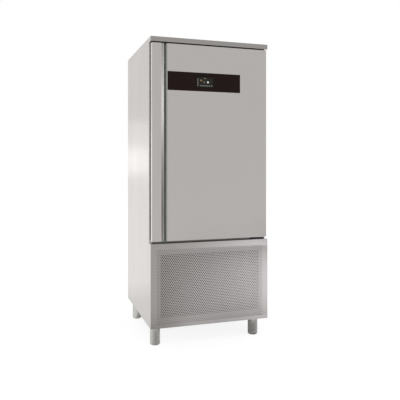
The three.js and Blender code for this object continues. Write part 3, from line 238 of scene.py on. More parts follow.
def steel(name, colour, roughness, grain=(900, 900, 14), mottle=0.07, waves=(5, 5, 3)):
    made = Finish(name, colour, roughness, metallic=1.0)
    lines = made.noise(grain, detail=3.0, rough=0.6)
    patches = made.noise([part * 0.09 + 8 for part in grain], detail=3.0, rough=0.6)
    cloud = made.noise(waves, detail=2.0)
    shade = (lines - 0.5) * mottle + (patches - 0.5) * mottle + (cloud - 0.5) * (mottle * 0.6) + 0.5
    made.feed(
        Base_Color=made.mix(shade, darker(colour, DARKEST), darker(colour, BRIGHTEST)),
        Roughness=(lines - 0.5) * 0.14 + (cloud - 0.5) * 0.08 + roughness,
    )
    made.bump(lines * 0.7 + patches * 0.3, 0.10, 0.0002)
    return made


def paint_border_highlight(made, start, full, most):
    """A painted highlight: a lighter tint between two heights, most at the right, where the real border
    catches more light.
    """
    share = made.spread(made.along("z"), start, full) * made.spread(made.along("x"), -0.25, 0.30)
    made.tint(share * most, tone(192, 188, 186))


door_steel = steel("door_steel", tone(181, 177, 174), 0.34, mottle=0.03)
# A lighter copy of the door's steel: painted light on the side panels, with the lamps giving the rest of
# their brightness.
lit_side_steel = steel("lit_side_steel", tone(192, 187, 183), 0.30, mottle=0.03)
# A darker copy of the steel: painted shade on the front frame, where it shows in the dark gap round the door.
shaded_frame_steel = steel("shaded_frame_steel", tone(140, 138, 135), 0.34)
# A darker copy of the steel: painted shade on the top panel and its lip.
shaded_lip_steel = steel("shaded_lip_steel", tone(151, 148, 145), 0.36, grain=(14, 900, 900))
# A darker copy of the steel: painted shade on the perforated front, whose plain borders also get painted
# highlights below.
shaded_grille_steel = steel("shaded_grille_steel", tone(156, 152, 149), 0.36, grain=(14, 900, 900), mottle=0.03)
shaded_steel = steel("shaded_steel", tone(132, 130, 128), 0.45, mottle=0.04)
# A much lighter copy of the steel: a painted highlight on the door's left fold.
fold_highlight_steel = steel("fold_highlight_steel", tone(236, 233, 230), 0.30, mottle=0.03)
leg_steel = steel("leg_steel", tone(196, 194, 190), 0.20, grain=(500, 500, 900), mottle=0.02)
inner_steel = steel("inner_steel", tone(205, 204, 202), 0.24, mottle=0.05)
# Painted highlights along the front sheet's top border and its bottom border.
paint_border_highlight(shaded_grille_steel, 0.580, 0.594, 0.8)
paint_border_highlight(shaded_grille_steel, 0.135, 0.122, 0.45)
print("steel finishes:", 9)

# %% [markdown]
# ## The other finishes
# Behind the door and under the cabinet there is galvanised sheet with its frost-like crystals, thin
# aluminium fins, copper tube, black enamel, moulded plastic, soft rubber and yellow foam. Crystals come from
# a Voronoi pattern, whose cells are each one shade. Enamel has a faint orange peel, moulded plastic a fine
# spark-eroded grain and rubber a dull bloom, all of them small noises fed to the bump and the roughness.

# %% Make the sheet, fin and tube finishes
def galvanised_sheet():
    made = Finish("galvanised", tone(172, 177, 180), 0.42, metallic=1.0)
    crystals = made.node("ShaderNodeTexVoronoi", None, {"Vector": made.place(110, 110, 110), "Scale": 1.0},
                         output=1)
    shade = made.mix(0.13, tone(172, 177, 180), crystals)
    dull = made.noise((9, 9, 9), detail=4.0)
    made.feed(
        Base_Color=made.mix((dull - 0.35) * 0.5, shade, tone(150, 156, 160)),
        Roughness=dull * 0.25 + 0.30,
    )
    made.bump(made.noise((700, 700, 700)), 0.08, 0.0002)
    return made


def fin_sheet():
    made = Finish("fins", tone(196, 200, 203), 0.38, metallic=1.0)
    wear = made.noise((30, 30, 6), detail=3.0)
    made.feed(
        Base_Color=made.mix(wear, tone(172, 177, 181), tone(214, 217, 220)),
        Roughness=wear * 0.2 + 0.28,
    )
    return made


def copper_tube():
    made = Finish("copper", tone(203, 129, 88), 0.26, metallic=1.0)
    tarnish = made.noise((24, 24, 24), detail=4.0, rough=0.6)
    spots = made.spread(tarnish, 0.42, 0.68)
    made.feed(
        Base_Color=made.mix(spots, tone(207, 132, 91), tone(134, 80, 56)),
        Roughness=spots * 0.25 + 0.20,
    )
    return made


galvanised = galvanised_sheet()
fins = fin_sheet()
copper = copper_tube()
print("sheet, fin and tube finishes:", 3)

# %% Make the painted, moulded and soft finishes
def coated(name, low, high, roughness, pimple, depth, patch=6, **plain):
    """A dielectric finish: two near tones in soft patches, and a fine grain that dulls and lifts it."""
    made = Finish(name, low, roughness, **plain)
    patches = made.noise((patch, patch, patch), detail=4.0)
    grain = made.noise((pimple, pimple, pimple), detail=2.0)
    made.feed(
        Base_Color=made.mix(made.spread(patches, 0.3, 0.7), low, high),
        Roughness=(patches - 0.5) * 0.18 + (grain - 0.5) * 0.10 + roughness,
    )
    made.bump(grain, 0.2, depth)
    return made


black_enamel = coated("black_enamel", tone(30, 31, 32), tone(40, 41, 43), 0.36, 420, 0.0003)
dark_plastic = coated("dark_plastic", tone(42, 43, 45), tone(52, 53, 55), 0.55, 1500, 0.0001, patch=14)
pale_plastic = coated("pale_plastic", tone(214, 213, 207), tone(224, 223, 218), 0.48, 1200, 0.0001)
soft_rubber = coated("soft_rubber", tone(44, 44, 45), tone(60, 60, 61), 0.78, 900, 0.0002, patch=30)
# A black sheet that paints the shade behind the front's holes.
shade_black_sheet = coated("shade_black_sheet", tone(20, 20, 21), tone(30, 30, 31), 0.95, 500, 0.0008, patch=40)
pale_foam = coated("pale_foam", tone(214, 196, 140), tone(228, 212, 160), 0.9, 500, 0.0006, patch=20)
print("coated finishes:", 6)

# %% [markdown]
# ## Dark glass and its display
# The controls lie behind one dark brown glass. It is thin and opaque, printed black from behind, so it is a
# dark gloss surface and not a clear one. Its own reflection is kept weak, as the photograph shows almost
# none. Finger marks are the only thing that changes over it, and they only dull the gloss.

# %% Make the glass and the display finishes
def gloss(name, colour, roughness, smears=0.10, **plain):
    made = Finish(name, colour, roughness, **plain)
    marks = made.noise((14, 14, 26), detail=5.0, rough=0.62, distortion=0.8)
    made.feed(
        Base_Color=made.mix(made.spread(marks, 0.45, 0.8) * 0.25, colour, darker(colour, 1.35)),
        Roughness=made.spread(marks, 0.40, 0.80) * smears + roughness,
    )
    return made


def lit(name, colour, strength):
    """An icon that glows a little; faint cells stand for the display's own dots."""
    made = Finish(name, darker(colour, 0.2), 0.4)
    dots = made.noise((900, 900, 900), detail=1.0)
    made.feed(Emission_Color=made.mix(dots * 0.5, colour, darker(colour, 0.6)), Emission_Strength=strength)
    return made


control_glass_finish = gloss("control_glass", tone(34, 21, 19), 0.16, IOR=1.16)
bezel_finish = gloss("display_bezel", tone(20, 24, 16), 0.30, IOR=1.2)
screen_finish = gloss("display_screen", tone(44, 41, 37), 0.34, IOR=1.2)
print("gloss finishes:", 3)

# %% [markdown]
# ## Making pieces
# Sheet and turned parts are described by outlines, which arcs draw. One helper lifts an outline into a prism
# along any axis, one spins a profile round an axis, and one carries a ring of points along a bent path. Each
# adds to the same open mesh, so a piece can be built from several shapes. A last helper closes the mesh into
# an object, gives it its finish, softens its corners with a Bevel modifier and makes it ride with its part of
# the cabinet.

# %% Shape helpers
AXES = {"x": lambda u, v, w: (w, u, v), "y": lambda u, v, w: (u, w, v), "z": lambda u, v, w: (u, v, w)}


def arc(u, v, radius, start, end, steps=5, rise=None):
    """Points round a centre from one direction to another, in degrees; a rise makes the arc oval."""
    turns = [math.radians(start + (end - start) * i / steps) for i in range(steps + 1)]
    return [(u + radius * math.cos(a), v + (rise or radius) * math.sin(a)) for a in turns]


def circle(u, v, radius, sides=48):
    return arc(u, v, radius, 0, 360, sides)[:-1]


def rectangle(left, right, low, high):
    return [(left, low), (right, low), (right, high), (left, high)]


def rounded_outline(left, right, low, high, radius, steps=6):
    """A rectangle with round corners, anticlockwise."""
    near, far, bottom, top = left + radius, right - radius, low + radius, high - radius
    centres = ((far, bottom, -90), (far, top, 0), (near, top, 90), (near, bottom, 180))
    return [point for u, v, start in centres for point in arc(u, v, radius, start, start + 90, steps)]


def from_mm(pairs, u=0.0, v=0.0):
    """Pairs given in millimetres from a point, as metres."""
    return [(u + across * MM, v + along * MM) for across, along in pairs]


def add_rings(shape, rings, capped=False):
    """Rings of points, each joined to the next; a ring of one point gives triangles."""
    rows = [[shape.verts.new(point) for point in ring] for ring in rings]
    for low, high in zip(rows, rows[1:]):
        count = max(len(low), len(high))
        for i in range(count):
            j = (i + 1) % count
            corners = [low[i % len(low)], low[j % len(low)], high[j % len(high)], high[i % len(high)]]
            shape.faces.new(list(dict.fromkeys(corners)))
    if capped:
        shape.faces.new(rows[0][::-1])
        shape.faces.new(rows[-1])
    return rows


def add_prism(shape, outline, low, high, axis="z"):
    """A closed prism over an outline drawn across the axis, from low to high along it."""
    add_rings(shape, [[AXES[axis](u, v, level) for u, v in outline] for level in (low, high)], capped=True)


def add_turned(shape, profile, centre, sides=48, axis="z"):
    """Pairs of radius and height spun round an axis through a point; a zero radius makes one point."""
    rings = []
    for radius, height in profile:
        around = circle(0, 0, radius, sides) if radius else [(0, 0)]
        rings.append([Vector(AXES[axis](u, v, height)) + Vector(centre) for u, v in around])
    add_rings(shape, rings)


def softened(corners, bend, steps=6):
    """A path through corner points with each corner rounded by a short curve."""
    points = [Vector(corner) for corner in corners]
    path = [points[0]]
    for before, here, after in zip(points, points[1:], points[2:]):
        reach = min(bend, (here - before).length / 2, (after - here).length / 2)
        start = here + (before - here).normalized() * reach
        end = here + (after - here).normalized() * reach
        for i in range(steps + 1):
            t = i / steps
            path.append(start * (1 - t) ** 2 + here * 2 * t * (1 - t) + end * t ** 2)
    path.append(points[-1])
    return path


def add_tube(shape, path, radius, sides=16, closed=False):
    """A round tube along a path, its ring turned from point to point without twist."""
    count = len(path)
    side = (path[1] - path[0]).normalized().orthogonal().normalized()
    rings = []
    for i, point in enumerate(path):
        after = path[(i + 1) % count] if closed or i + 1 < count else point
        before = path[i - 1] if closed or i else point
        along = (after - before).normalized()
        side = (side - along * side.dot(along)).normalized()
        other = along.cross(side)
        rings.append([point + side * u + other * v for u, v in circle(0, 0, radius, sides)])
    if closed:
        rings.append(rings[0])
    add_rings(shape, rings, capped=not closed)


def add_plate(shape, outline, holes, low, high, axis="y"):
    """A flat plate with holes through it, its faces filled between the outline and the holes."""
    put = AXES[axis]
    flat = bmesh.new()
    for loop in [outline, *holes]:
        ring = [flat.verts.new(put(u, v, low)) for u, v in loop]
        for first, second in zip(ring, ring[1:] + ring[:1]):
            flat.edges.new((first, second))
    bmesh.ops.triangle_fill(flat, use_beauty=True, use_dissolve=False, edges=flat.edges[:])
    lifted = bmesh.ops.extrude_face_region(flat, geom=flat.faces[:] + flat.edges[:] + flat.verts[:],
                                           use_keep_orig=True)
    raised = [item for item in lifted["geom"] if isinstance(item, bmesh.types.BMVert)]
    bmesh.ops.translate(flat, vec=put(0, 0, high - low), verts=raised)
    spare = bpy.data.meshes.new("spare")
    flat.to_mesh(spare)
    flat.free()
    shape.from_mesh(spare)
    bpy.data.meshes.remove(spare)


print("shape helpers are ready")

# %% Closing a piece
SMOOTH_ANGLE = 35


def soften_corners(obj, width, segments=2, angle=40):
    bevel = obj.modifiers.new("softened corners", "BEVEL")
    bevel.width = width
    bevel.segments = segments
    bevel.limit_method = "ANGLE"
    bevel.angle_limit = math.radians(angle)


def thicken(obj, wall):
    """Give an open sheet its wall, on its inner side."""
    obj.modifiers.new("sheet thickness", "SOLIDIFY").thickness = wall


def sharpen_border(mesh):
    """Mark the open edges as sharp, so that a sheet's cut edge stays crisp when it gets its wall."""
    used = Counter(key for polygon in mesh.polygons for key in polygon.edge_keys)
    for edge in mesh.edges:
        if used[edge.key] == 1:
            edge.use_edge_sharp = True


def close_piece(name, shape, finish, body, stands_for=(), bevel=0.0, smooth=SMOOTH_ANGLE, weld=True):
    """The open mesh becomes a named object that rides on a body and may stand for measured pieces."""
    if weld:
        bmesh.ops.remove_doubles(shape, verts=shape.verts[:], dist=1e-6)
    bmesh.ops.recalc_face_normals(shape, faces=shape.faces[:])
    mesh = bpy.data.meshes.new(name)
    shape.to_mesh(mesh)
    shape.free()
    if smooth:
        mesh.shade_smooth()
        mesh.set_sharp_from_angle(angle=math.radians(smooth))
        sharpen_border(mesh)
    mesh.materials.append(finish.material)
    obj = bpy.data.objects.new(name, mesh)
    bpy.context.collection.objects.link(obj)
    if bevel:
        soften_corners(obj, bevel)
    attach(obj, body)
    if stands_for:
        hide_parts(*stands_for)
    size = [round((max(side) - min(side)) / MM) for side in zip(*(vert.co for vert in mesh.vertices))]
    print(f"{name}: {len(mesh.polygons)} faces, {size} mm")
    return obj


def middle_line(low, high, axis):
    """The point on a box's middle line that lies at zero along the axis."""
    middle = (low + high) / 2
    setattr(middle, axis, 0)
    return middle


print("pieces can be closed")

# %% [markdown]
# ## Studio
# The cabinet stands on a plain white floor with nothing round it. The floor shows the camera, and the
# reflections, a white close to the paper of the photograph, and under that it keeps a plain pale surface
# that takes the soft shadow of the feet. The world lights evenly. A few large soft lamps stand where steel
# mirrors them: bare metal has no shading of its own and needs something to reflect.

# %% Light the studio
def seen_directly(network):
    """One where the camera, a reflection or a clear material looks, and zero for plain lighting."""
    total = network.node("ShaderNodeLightPath", output="Is Camera Ray")
    for kind in ("Is Glossy Ray", "Is Transmission Ray"):
        total = network.math("MAXIMUM", total, network.node("ShaderNodeLightPath", output=kind))
    return total


def light_world(plain, seen):
    world = bpy.data.worlds.new("studio")
    bpy.context.scene.world = world
    world.use_nodes = True
    sky = Network(world.node_tree, "World Output")
    glows = [sky.node("ShaderNodeBackground", None, {"Color": grey(1), "Strength": level})
             for level in (plain, seen)]
    sky.choose(seen_directly(sky), *glows)


def make_lamp(name, at, aim, width, height, strength, colour=(1.0, 1.0, 1.0)):
    """A soft lamp of a given brightness: its power follows from its area."""
    lamp = bpy.data.lights.new(name, "AREA")
    lamp.color = colour
    lamp.shape = "RECTANGLE"
    lamp.size = width
    lamp.size_y = height
    lamp.energy = strength * math.pi * width * height
    obj = bpy.data.objects.new(name, lamp)
    obj.location = at
    obj.rotation_euler = (Vector(aim) - Vector(at)).to_track_quat("-Z", "Y").to_euler()
    obj.visible_camera = False
    bpy.context.collection.objects.link(obj)


COOL = (0.98, 0.98, 1.07)
LOW_SHEET_RIGHT, LOW_SHEET_STEP, LOW_SHEET_HEIGHT = 0.78, 0.20, 0.235
light_world(plain=0.78, seen=1.0)
make_lamp("far_left_strip", (-1.05, 3.0, 1.17), (-0.455, 0.0, 1.17), 0.56, 0.34, 0.7)
make_lamp("left_sheet", (-0.85, 1.2, 0.77), (-0.85, -1.0, 0.77), 0.60, 1.50, 0.26)
make_lamp("low_left_sheet", (-0.72, 0.75, 0.085), (-0.72, -1.0, 0.085), 0.50, 0.13, 0.12)
for step, strength in enumerate((0.30, 0.25, 0.30, 0.70)):
    left = -0.10 + LOW_SHEET_STEP * step
    middle = (left + LOW_SHEET_RIGHT) / 2
    make_lamp(f"low_right_sheet_{step}", (middle, -0.98 - 0.03 * step, LOW_SHEET_HEIGHT),
              (middle, 1.0, LOW_SHEET_HEIGHT), LOW_SHEET_RIGHT - left, 0.43, strength, COOL)
make_lamp("floor_sheet", (0.28, -0.90, 0.012), (0.28, -0.90, 1.0), 0.8, 0.40, 0.5, COOL)

# %% Lay the floor
FLOOR_HALF = 14.0


def stage_sheet(name, corners, material):
    """A flat sheet that belongs to the studio and not to the cabinet."""
    mesh = bpy.data.meshes.new(name)
    mesh.from_pydata(corners, [], [tuple(range(len(corners)))])
    mesh.materials.append(material)
    sheet = bpy.data.objects.new(name, mesh)
    bpy.context.collection.objects.link(sheet)
    sheet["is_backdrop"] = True
    return sheet


def upright(near, far, low, high):
    """The corners of an upright sheet over a line on the floor."""
    return [(*near, low), (*far, low), (*far, high), (*near, high)]


def lying(left, right, front, back, height):
    return [(x, y, height) for x, y in rectangle(left, right, front, back)]


def lay_floor():
    paint = Finish("white_floor", grey(0.80), 1.0)
    plain = paint.node("ShaderNodeBsdfDiffuse", None, {"Color": grey(0.80)})
    shaded = paint.node("ShaderNodeBsdfDiffuse", None, {"Color": grey(0.22)})
    glow = paint.node("ShaderNodeEmission", None, {"Strength": 0.86})
    seen = paint.node("ShaderNodeAddShader", None, {0: shaded, 1: glow})
    paint.choose(seen_directly(paint), plain, seen)
    stage_sheet("studio_floor", lying(-FLOOR_HALF, FLOOR_HALF, -FLOOR_HALF, FLOOR_HALF, 0), paint.material)


lay_floor()
print("floor:", 2 * FLOOR_HALF, "m square")

# %% [markdown]
# ## Cards for the steel to mirror
# A kitchen round a cabinet shows in its steel as soft bands, dark and bright. Here cards take its place: flat
# sheets with a graded glow that only reflections see. One lies under the cabinet, round ones lie under the
# front legs and change with the direction round the leg, and three stand at the right, for the grip's ramp
# and for the foot of the door. A card can be told to show only from some distance, by the length of the ray
# that looks at it, so that the side panel next to it mirrors the white room instead.

# %% Stand and lay the cards
def hang_card(name, corners, levels, placing, nearest=0.0):
    """Levels are brightnesses along a scale, and placing gives each point's place on that scale. Steel
    that lies nearer than the distance given, in metres, sees through the card."""
    paint = Finish(name, grey(0), 1.0, Specular_IOR_Level=0.0)
    peak = max(level for at, level in levels)
    stops = [(at, grey(level / peak)) for at, level in levels]
    glow = paint.node("ShaderNodeValToRGB", {"stops": stops}, {0: placing(paint)})
    paint.feed(Emission_Color=glow, Emission_Strength=peak)
    far_enough = paint.node("ShaderNodeLightPath", output="Ray Length") > nearest
    unseen = paint.node("ShaderNodeBsdfTransparent")
    paint.choose(far_enough, unseen, Signal(paint, paint.surface.outputs["BSDF"]))
    card = stage_sheet(name, corners, paint.material)
    card.visible_camera = card.visible_diffuse = card.visible_shadow = False


def between(axis, low, high):
    return lambda paint: paint.spread(paint.along(axis), low, high)


# Places on the floor, in metres: the two grip cards meet at the corner between them.
CARD_INNER, CARD_CORNER, CARD_OUTER = (0.85, -0.50), (1.08, -1.18), (1.218, -1.588)
CARD_LOW, GRIP_CARD_TOP, FOOT_CARD_TOP = 0.02, 2.90, 1.0
UNDER_HALF = 0.385
DOOR_CARD_LEFT, DOOR_CARD_RIGHT, DOOR_CARD_FRONT = -0.1, 0.9, -0.90

hang_card("under_card", lying(-UNDER_HALF, UNDER_HALF, -0.41, 0.40, MM),
          [(0, 0.50), (0.33, 0.32), (0.67, 0.22), (1, 0.15)], between("x", -UNDER_HALF, UNDER_HALF))
hang_card("grip_card", upright(CARD_CORNER, CARD_INNER, CARD_LOW, GRIP_CARD_TOP),
          [(0, 0.15), (0.33, 0.05), (0.446, 0.6), (0.53, 2.4), (0.597, 2.4), (0.68, 1.0), (0.79, 0.2),
           (1, 0)], between("z", CARD_LOW, GRIP_CARD_TOP), nearest=1.2)
hang_card("grip_foot_card", upright(CARD_CORNER, CARD_OUTER, CARD_LOW, FOOT_CARD_TOP),
          [(0, 0.05), (0.6, 0.05), (1, 0.9)], between("z", CARD_LOW, FOOT_CARD_TOP), nearest=1.55)
hang_card("door_foot_card",
          upright((DOOR_CARD_LEFT, DOOR_CARD_FRONT), (DOOR_CARD_RIGHT, DOOR_CARD_FRONT), 0.50, 0.61),
          [(0, 0.9), (0.3, 0.68), (0.7, 0.5), (1, 0.5)], between("x", DOOR_CARD_LEFT, DOOR_CARD_RIGHT))

# %% Lay a round card under each front leg
LEG_CARD = 0.40


def lay_round_card(corner, lift, left, front, right, back):
    """Four brightnesses, one for each side that the leg faces, blend into each other round it."""
    middle = middle_line(*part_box(corner + "_leg"), "z")
    rim = [(x, y, lift) for x, y in circle(middle.x, middle.y, LEG_CARD)]

    def turn(paint):
        across, deep = paint.along("x") - middle.x, paint.along("y") - middle.y
        return paint.spread(paint.math("ARCTAN2", deep, across), -math.pi, math.pi)

    hang_card(corner + "_card", rim, [(0, left), (0.25, front), (0.5, right), (0.75, back), (1, left)], turn)


lay_round_card("front_left", 2 * MM, left=0.9, front=0.4, right=0.6, back=0.9)
lay_round_card("front_right", 3 * MM, left=0.3, front=0.3, right=0.6, back=0.2)

# %% [markdown]
# ## Door skin
# The door is one sheet of steel. Seen from above, its front face runs along a strip at the left, sinks down a
# straight ramp that ends in a steep round drop, and climbs a steep wall to the wide flat face. That channel
# is the grip, and it runs out through both ends of the door. Short smooth curves draw it. The outline is
# lifted as a sheet with rows at the window's edges, so that leaving out one field cuts the window for the
# glass.

# %% Build the door skin
def smooth_curve(start, first_pull, second_pull, end, steps):
    """Points on a cubic curve, without its first point."""
    points = []
    for i in range(1, steps + 1):
        t = i / steps
        weights = ((1 - t) ** 3, 3 * t * (1 - t) ** 2, 3 * t * t * (1 - t), t ** 3)
        points.append(tuple(sum(w * p[k] for w, p in zip(weights, (start, first_pull, second_pull, end)))
                            for k in (0, 1)))
    return points


door_low, door_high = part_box("door_skin")
glass_low, glass_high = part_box("control_glass")
FIT = 0.3 * MM
STRIP, RAMP, WALL, DEPTH = 56.65 * MM, 25.8 * MM, 14.5 * MM, 27 * MM
RAMP_FALL = math.tan(math.radians(26))
DOOR_ROUND, DOOR_SHEET = 3 * MM, 1.5 * MM


def door_front_line():
    """The door's outline from its back left corner round the front to its back right corner."""
    face, deep = door_low.y, door_low.y + DEPTH
    shoulder = door_low.x + STRIP
    valley = shoulder + RAMP
    crest = valley + WALL
    bend, edge = 3 * MM, 20.8 * MM

    def on_ramp(way):
        """A point on the straight ramp; the shoulder bends into it, so the ramp starts half a bend late."""
        return (shoulder + way, face + (way - bend / 2) * RAMP_FALL)

    line = [(door_low.x, door_high.y)]
    line += arc(door_low.x + DOOR_ROUND, face + DOOR_ROUND, DOOR_ROUND, 180, 270)
    line += [(shoulder, face)]
    line += smooth_curve((shoulder, face), (shoulder + bend / 3, face),
                         (shoulder + bend * 2 / 3, face + bend * RAMP_FALL / 4), on_ramp(bend), 3)
    line += smooth_curve(on_ramp(bend), on_ramp(bend), on_ramp(edge), on_ramp(edge), 3)
    line += smooth_curve(on_ramp(edge), on_ramp(edge + bend), (valley, deep - 12 * MM), (valley, deep), 12)
    line += smooth_curve((valley, deep), (valley + 4 * MM, deep - 7 * MM), (crest - 7 * MM, face),
                         (crest, face), 18)
    line += [(glass_low.x - FIT, face), (glass_high.x + FIT, face)]
    line += arc(door_high.x - DOOR_ROUND, face + DOOR_ROUND, DOOR_ROUND, 270, 360)
    return line + [(door_high.x, door_high.y)]


def build_door_skin():
    line = door_front_line()
    rows = [door_low.z, glass_low.z - FIT, glass_high.z + FIT, door_high.z]
    shape = bmesh.new()
    grid = [[shape.verts.new((x, y, z)) for x, y in line] for z in rows]
    window = next(i for i, (x, y) in enumerate(line) if abs(x - glass_low.x + FIT) < 1e-7)
    for row in range(3):
        for i in range(1, len(line) - 1):
            if row == 1 and i == window:
                continue
            shape.faces.new((grid[row][i], grid[row][i + 1], grid[row + 1][i + 1], grid[row + 1][i]))
    shape.faces.new(grid[0][::-1])
    shape.faces.new(grid[-1])
    unused = [vert for vert in shape.verts if not vert.link_faces]
    bmesh.ops.delete(shape, geom=unused, context="VERTS")
    obj = close_piece("door_skin_sheet", shape, door_steel, "door", ["door_skin"],
                      weld=False)
    soften_corners(obj, 1.6 * MM, segments=3, angle=60)
    thicken(obj, DOOR_SHEET)


def build_door_edge():
    """The door's left fold, in a much lighter copy of the steel: a painted highlight where the fold catches
    the light.
    """
    shape = bmesh.new()
    around = rectangle(door_high.y, door_low.y + DOOR_ROUND, door_low.z, door_high.z)
    shape.faces.new([shape.verts.new((door_low.x, y, z)) for y, z in around])
    obj = close_piece("door_left_fold", shape, fold_highlight_steel, "door", smooth=0)
    thicken(obj, DOOR_SHEET)


def paint_grip_reflections():
    """Painted reflections: a lighter and a darker band down the grip, tints that stand for what the real
    steel mirrors there.
    """
    shoulder = door_low.x + STRIP
    along = door_steel.along("x")
    # The light band is a painted highlight on the ramp, the darker one painted shade on the steep wall under
    # the crest.
    bright = (18 * MM, 26 * MM, 1.0, tone(234, 242, 239))
    dull = (32 * MM, 41 * MM, 0.45, tone(114, 123, 120))
    for low, high, share, colour in (bright, dull):
        rise = door_steel.spread(along, shoulder + low - MM, shoulder + low + MM)
        fall = door_steel.spread(along, shoulder + high + MM, shoulder + high - MM)
        door_steel.tint(rise * fall * share, colour)


build_door_skin()
build_door_edge()
paint_grip_reflections()

# %% [markdown]
# ## Perforated front
# The lower front is a flat sheet punched with thousands of round holes in staggered rows, so that air reaches
# the condenser. Each hole sits in a rectangular cell of eight corner points. Rows of cells are laid like
# bricks, so that the corners of one row meet the middles of the next, and every point is shared. The holes
# stay open only in the middle: round the edges a folded frame stands behind the sheet and blinds them.

# %% Punch the front sheet
front_low, front_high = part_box("front_grille")
HOLE_PITCH, ROW_PITCH, HOLE_RADIUS = 13.09 * MM, 10.17 * MM, 3.9 * MM
FIELD_SIDE, FIELD_LOW, FIELD_TOP = 34 * MM, 21 * MM, 27 * MM
FRONT_SHEET = 1.5 * MM
CELL = ((0, 0), (1, 0), (2, 0), (2, 1), (2, 2), (1, 2), (0, 2), (0, 1))


def punched_sheet(shape, left, right, low, high, y):
    """A brick pattern of round holes in a field, and a plain border out to the sheet's edges."""
    columns = int((right - left - 2 * FIELD_SIDE) / HOLE_PITCH)
    rows = int((high - low - FIELD_LOW - FIELD_TOP) / ROW_PITCH)
    x0 = (left + right - columns * HOLE_PITCH) / 2
    z0 = low + FIELD_LOW
    half, rise = HOLE_PITCH / 2, ROW_PITCH / 2
    known = {}

    def at(i, k):
        """The shared point i half pitches across and k half rows up."""
        if (i, k) not in known:
            known[i, k] = shape.verts.new((x0 + i * half, y, z0 + k * rise))
        return known[i, k]

    for row in range(rows):
        shift = row % 2
        for column in range(columns - shift):
            i, k = 2 * column + shift, 2 * row
            rim = [at(i + u, k + v) for u, v in CELL]
            around = arc(x0 + (i + 1) * half, z0 + (k + 1) * rise, HOLE_RADIUS, -135, 180, steps=7)
            hole = [shape.verts.new((u, y, v)) for u, v in around]
            for step in range(8):
                after = (step + 1) % 8
                shape.faces.new((rim[step], rim[after], hole[after], hole[step]))
        if shift:
            for i, j in ((0, 1), (2 * columns, 2 * columns - 1)):
                ends = ((i, 0), (j, 0), (j, 1), (j, 2), (i, 2))
                shape.faces.new([at(across, 2 * row + up) for across, up in ends])
    return border(shape, known, 2 * columns, 2 * rows, left, right, low, high, y)


def border(shape, known, wide, tall, left, right, low, high, y):
    """Quads from the field's edge points out to the sheet's edges, and one at each corner."""
    lower = [shape.verts.new((known[i, 0].co.x, y, low)) for i in range(wide + 1)]
    upper = [shape.verts.new((known[i, 0].co.x, y, high)) for i in range(wide + 1)]
    for i in range(wide):
        shape.faces.new((lower[i], lower[i + 1], known[i + 1, 0], known[i, 0]))
        shape.faces.new((known[i, tall], known[i + 1, tall], upper[i + 1], upper[i]))
    for side, edge_x, ends in ((0, left, (lower[0], upper[0])), (wide, right, (lower[-1], upper[-1]))):
        levels = [k for k in range(tall + 1) if (side, k) in known]
        edge = [shape.verts.new((edge_x, y, known[side, k].co.z)) for k in levels]
        for n in range(len(levels) - 1):
            shape.faces.new((edge[n], known[side, levels[n]], known[side, levels[n + 1]], edge[n + 1]))
        shape.faces.new((shape.verts.new((edge_x, y, low)), ends[0], known[side, 0], edge[0]))
        shape.faces.new((edge[-1], known[side, tall], ends[1], shape.verts.new((edge_x, y, high))))
    return (wide // 2, tall // 2)


def build_front_sheet():
    shape = bmesh.new()
    counts = punched_sheet(shape, front_low.x, front_high.x, front_low.z, front_high.z, front_low.y)
    print("holes across and up:", counts)
    obj = close_piece("perforated_front", shape, shaded_grille_steel, "cabinet", ["front_grille"],
                      smooth=0)
    if obj.data.polygons[0].normal.y > 0:
        obj.data.flip_normals()
    thicken(obj, FRONT_SHEET)


build_front_sheet()

# %% Fold the frame behind the front sheet
BACK_SIDE, BACK_LOW, BACK_TOP = 62 * MM, 65 * MM, 70 * MM
FRAME_SIDE = 20.3 * MM


def front_opening():
    """The frame's opening, where the holes stay open."""
    return rounded_outline(front_low.x + BACK_SIDE, front_high.x - BACK_SIDE, front_low.z + BACK_LOW,
                           front_high.z - BACK_TOP, 6 * MM)


def build_front_backing():
    shape = bmesh.new()
    outer = rounded_outline(front_low.x + FRAME_SIDE, front_high.x - FRAME_SIDE, front_low.z + 4 * MM,
                            front_high.z - 2 * MM, 1 * MM, steps=2)
    add_plate(shape, outer, [front_opening()], front_low.y + FRONT_SHEET + 0.1 * MM, front_high.y)
    close_piece("front_backing_frame", shape, shaded_steel, "cabinet", ["front_grille"],
                smooth=0)


build_front_backing()

# %% Lay a dark sheet in the frame, as painted shade for the holes
def lay_shade_sheet():
    """A thin black sheet behind the holes, put there as painted shade: only its dark shows, through them."""
    shape = bmesh.new()
    add_prism(shape, front_opening(), front_high.y - 3 * MM, front_high.y - 1 * MM, "y")
    close_piece("front_shade_sheet", shape, shade_black_sheet, "cabinet", smooth=0)


lay_shade_sheet()

# %% [markdown]
# ## Legs and feet
# Each leg is a polished tube that hides a threaded stem, and the foot below it is a cup of the same steel
# that turns on the stem to level the cabinet. Both are turned shapes, so a profile spun round the leg's axis
# makes them.

# %% Turn the legs and feet
def build_leg(corner):
    low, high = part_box(corner + "_leg")
    radius = (high.x - low.x) / 2
    lower_end = from_mm([(-2, 6), (-2, 0), (-0.6, 0), (0, 0.8)], radius, low.z)
    upper_end = from_mm([(0, -12), (0, -1), (-1, 0)], radius, high.z)
    profile = [(0, low.z + 6 * MM), *lower_end, *upper_end, (0, high.z)]
    shape = bmesh.new()
    add_turned(shape, profile, middle_line(low, high, "z"), 64)
    close_piece(corner + "_leg_tube", shape, leg_steel, "cabinet", [corner + "_leg"])


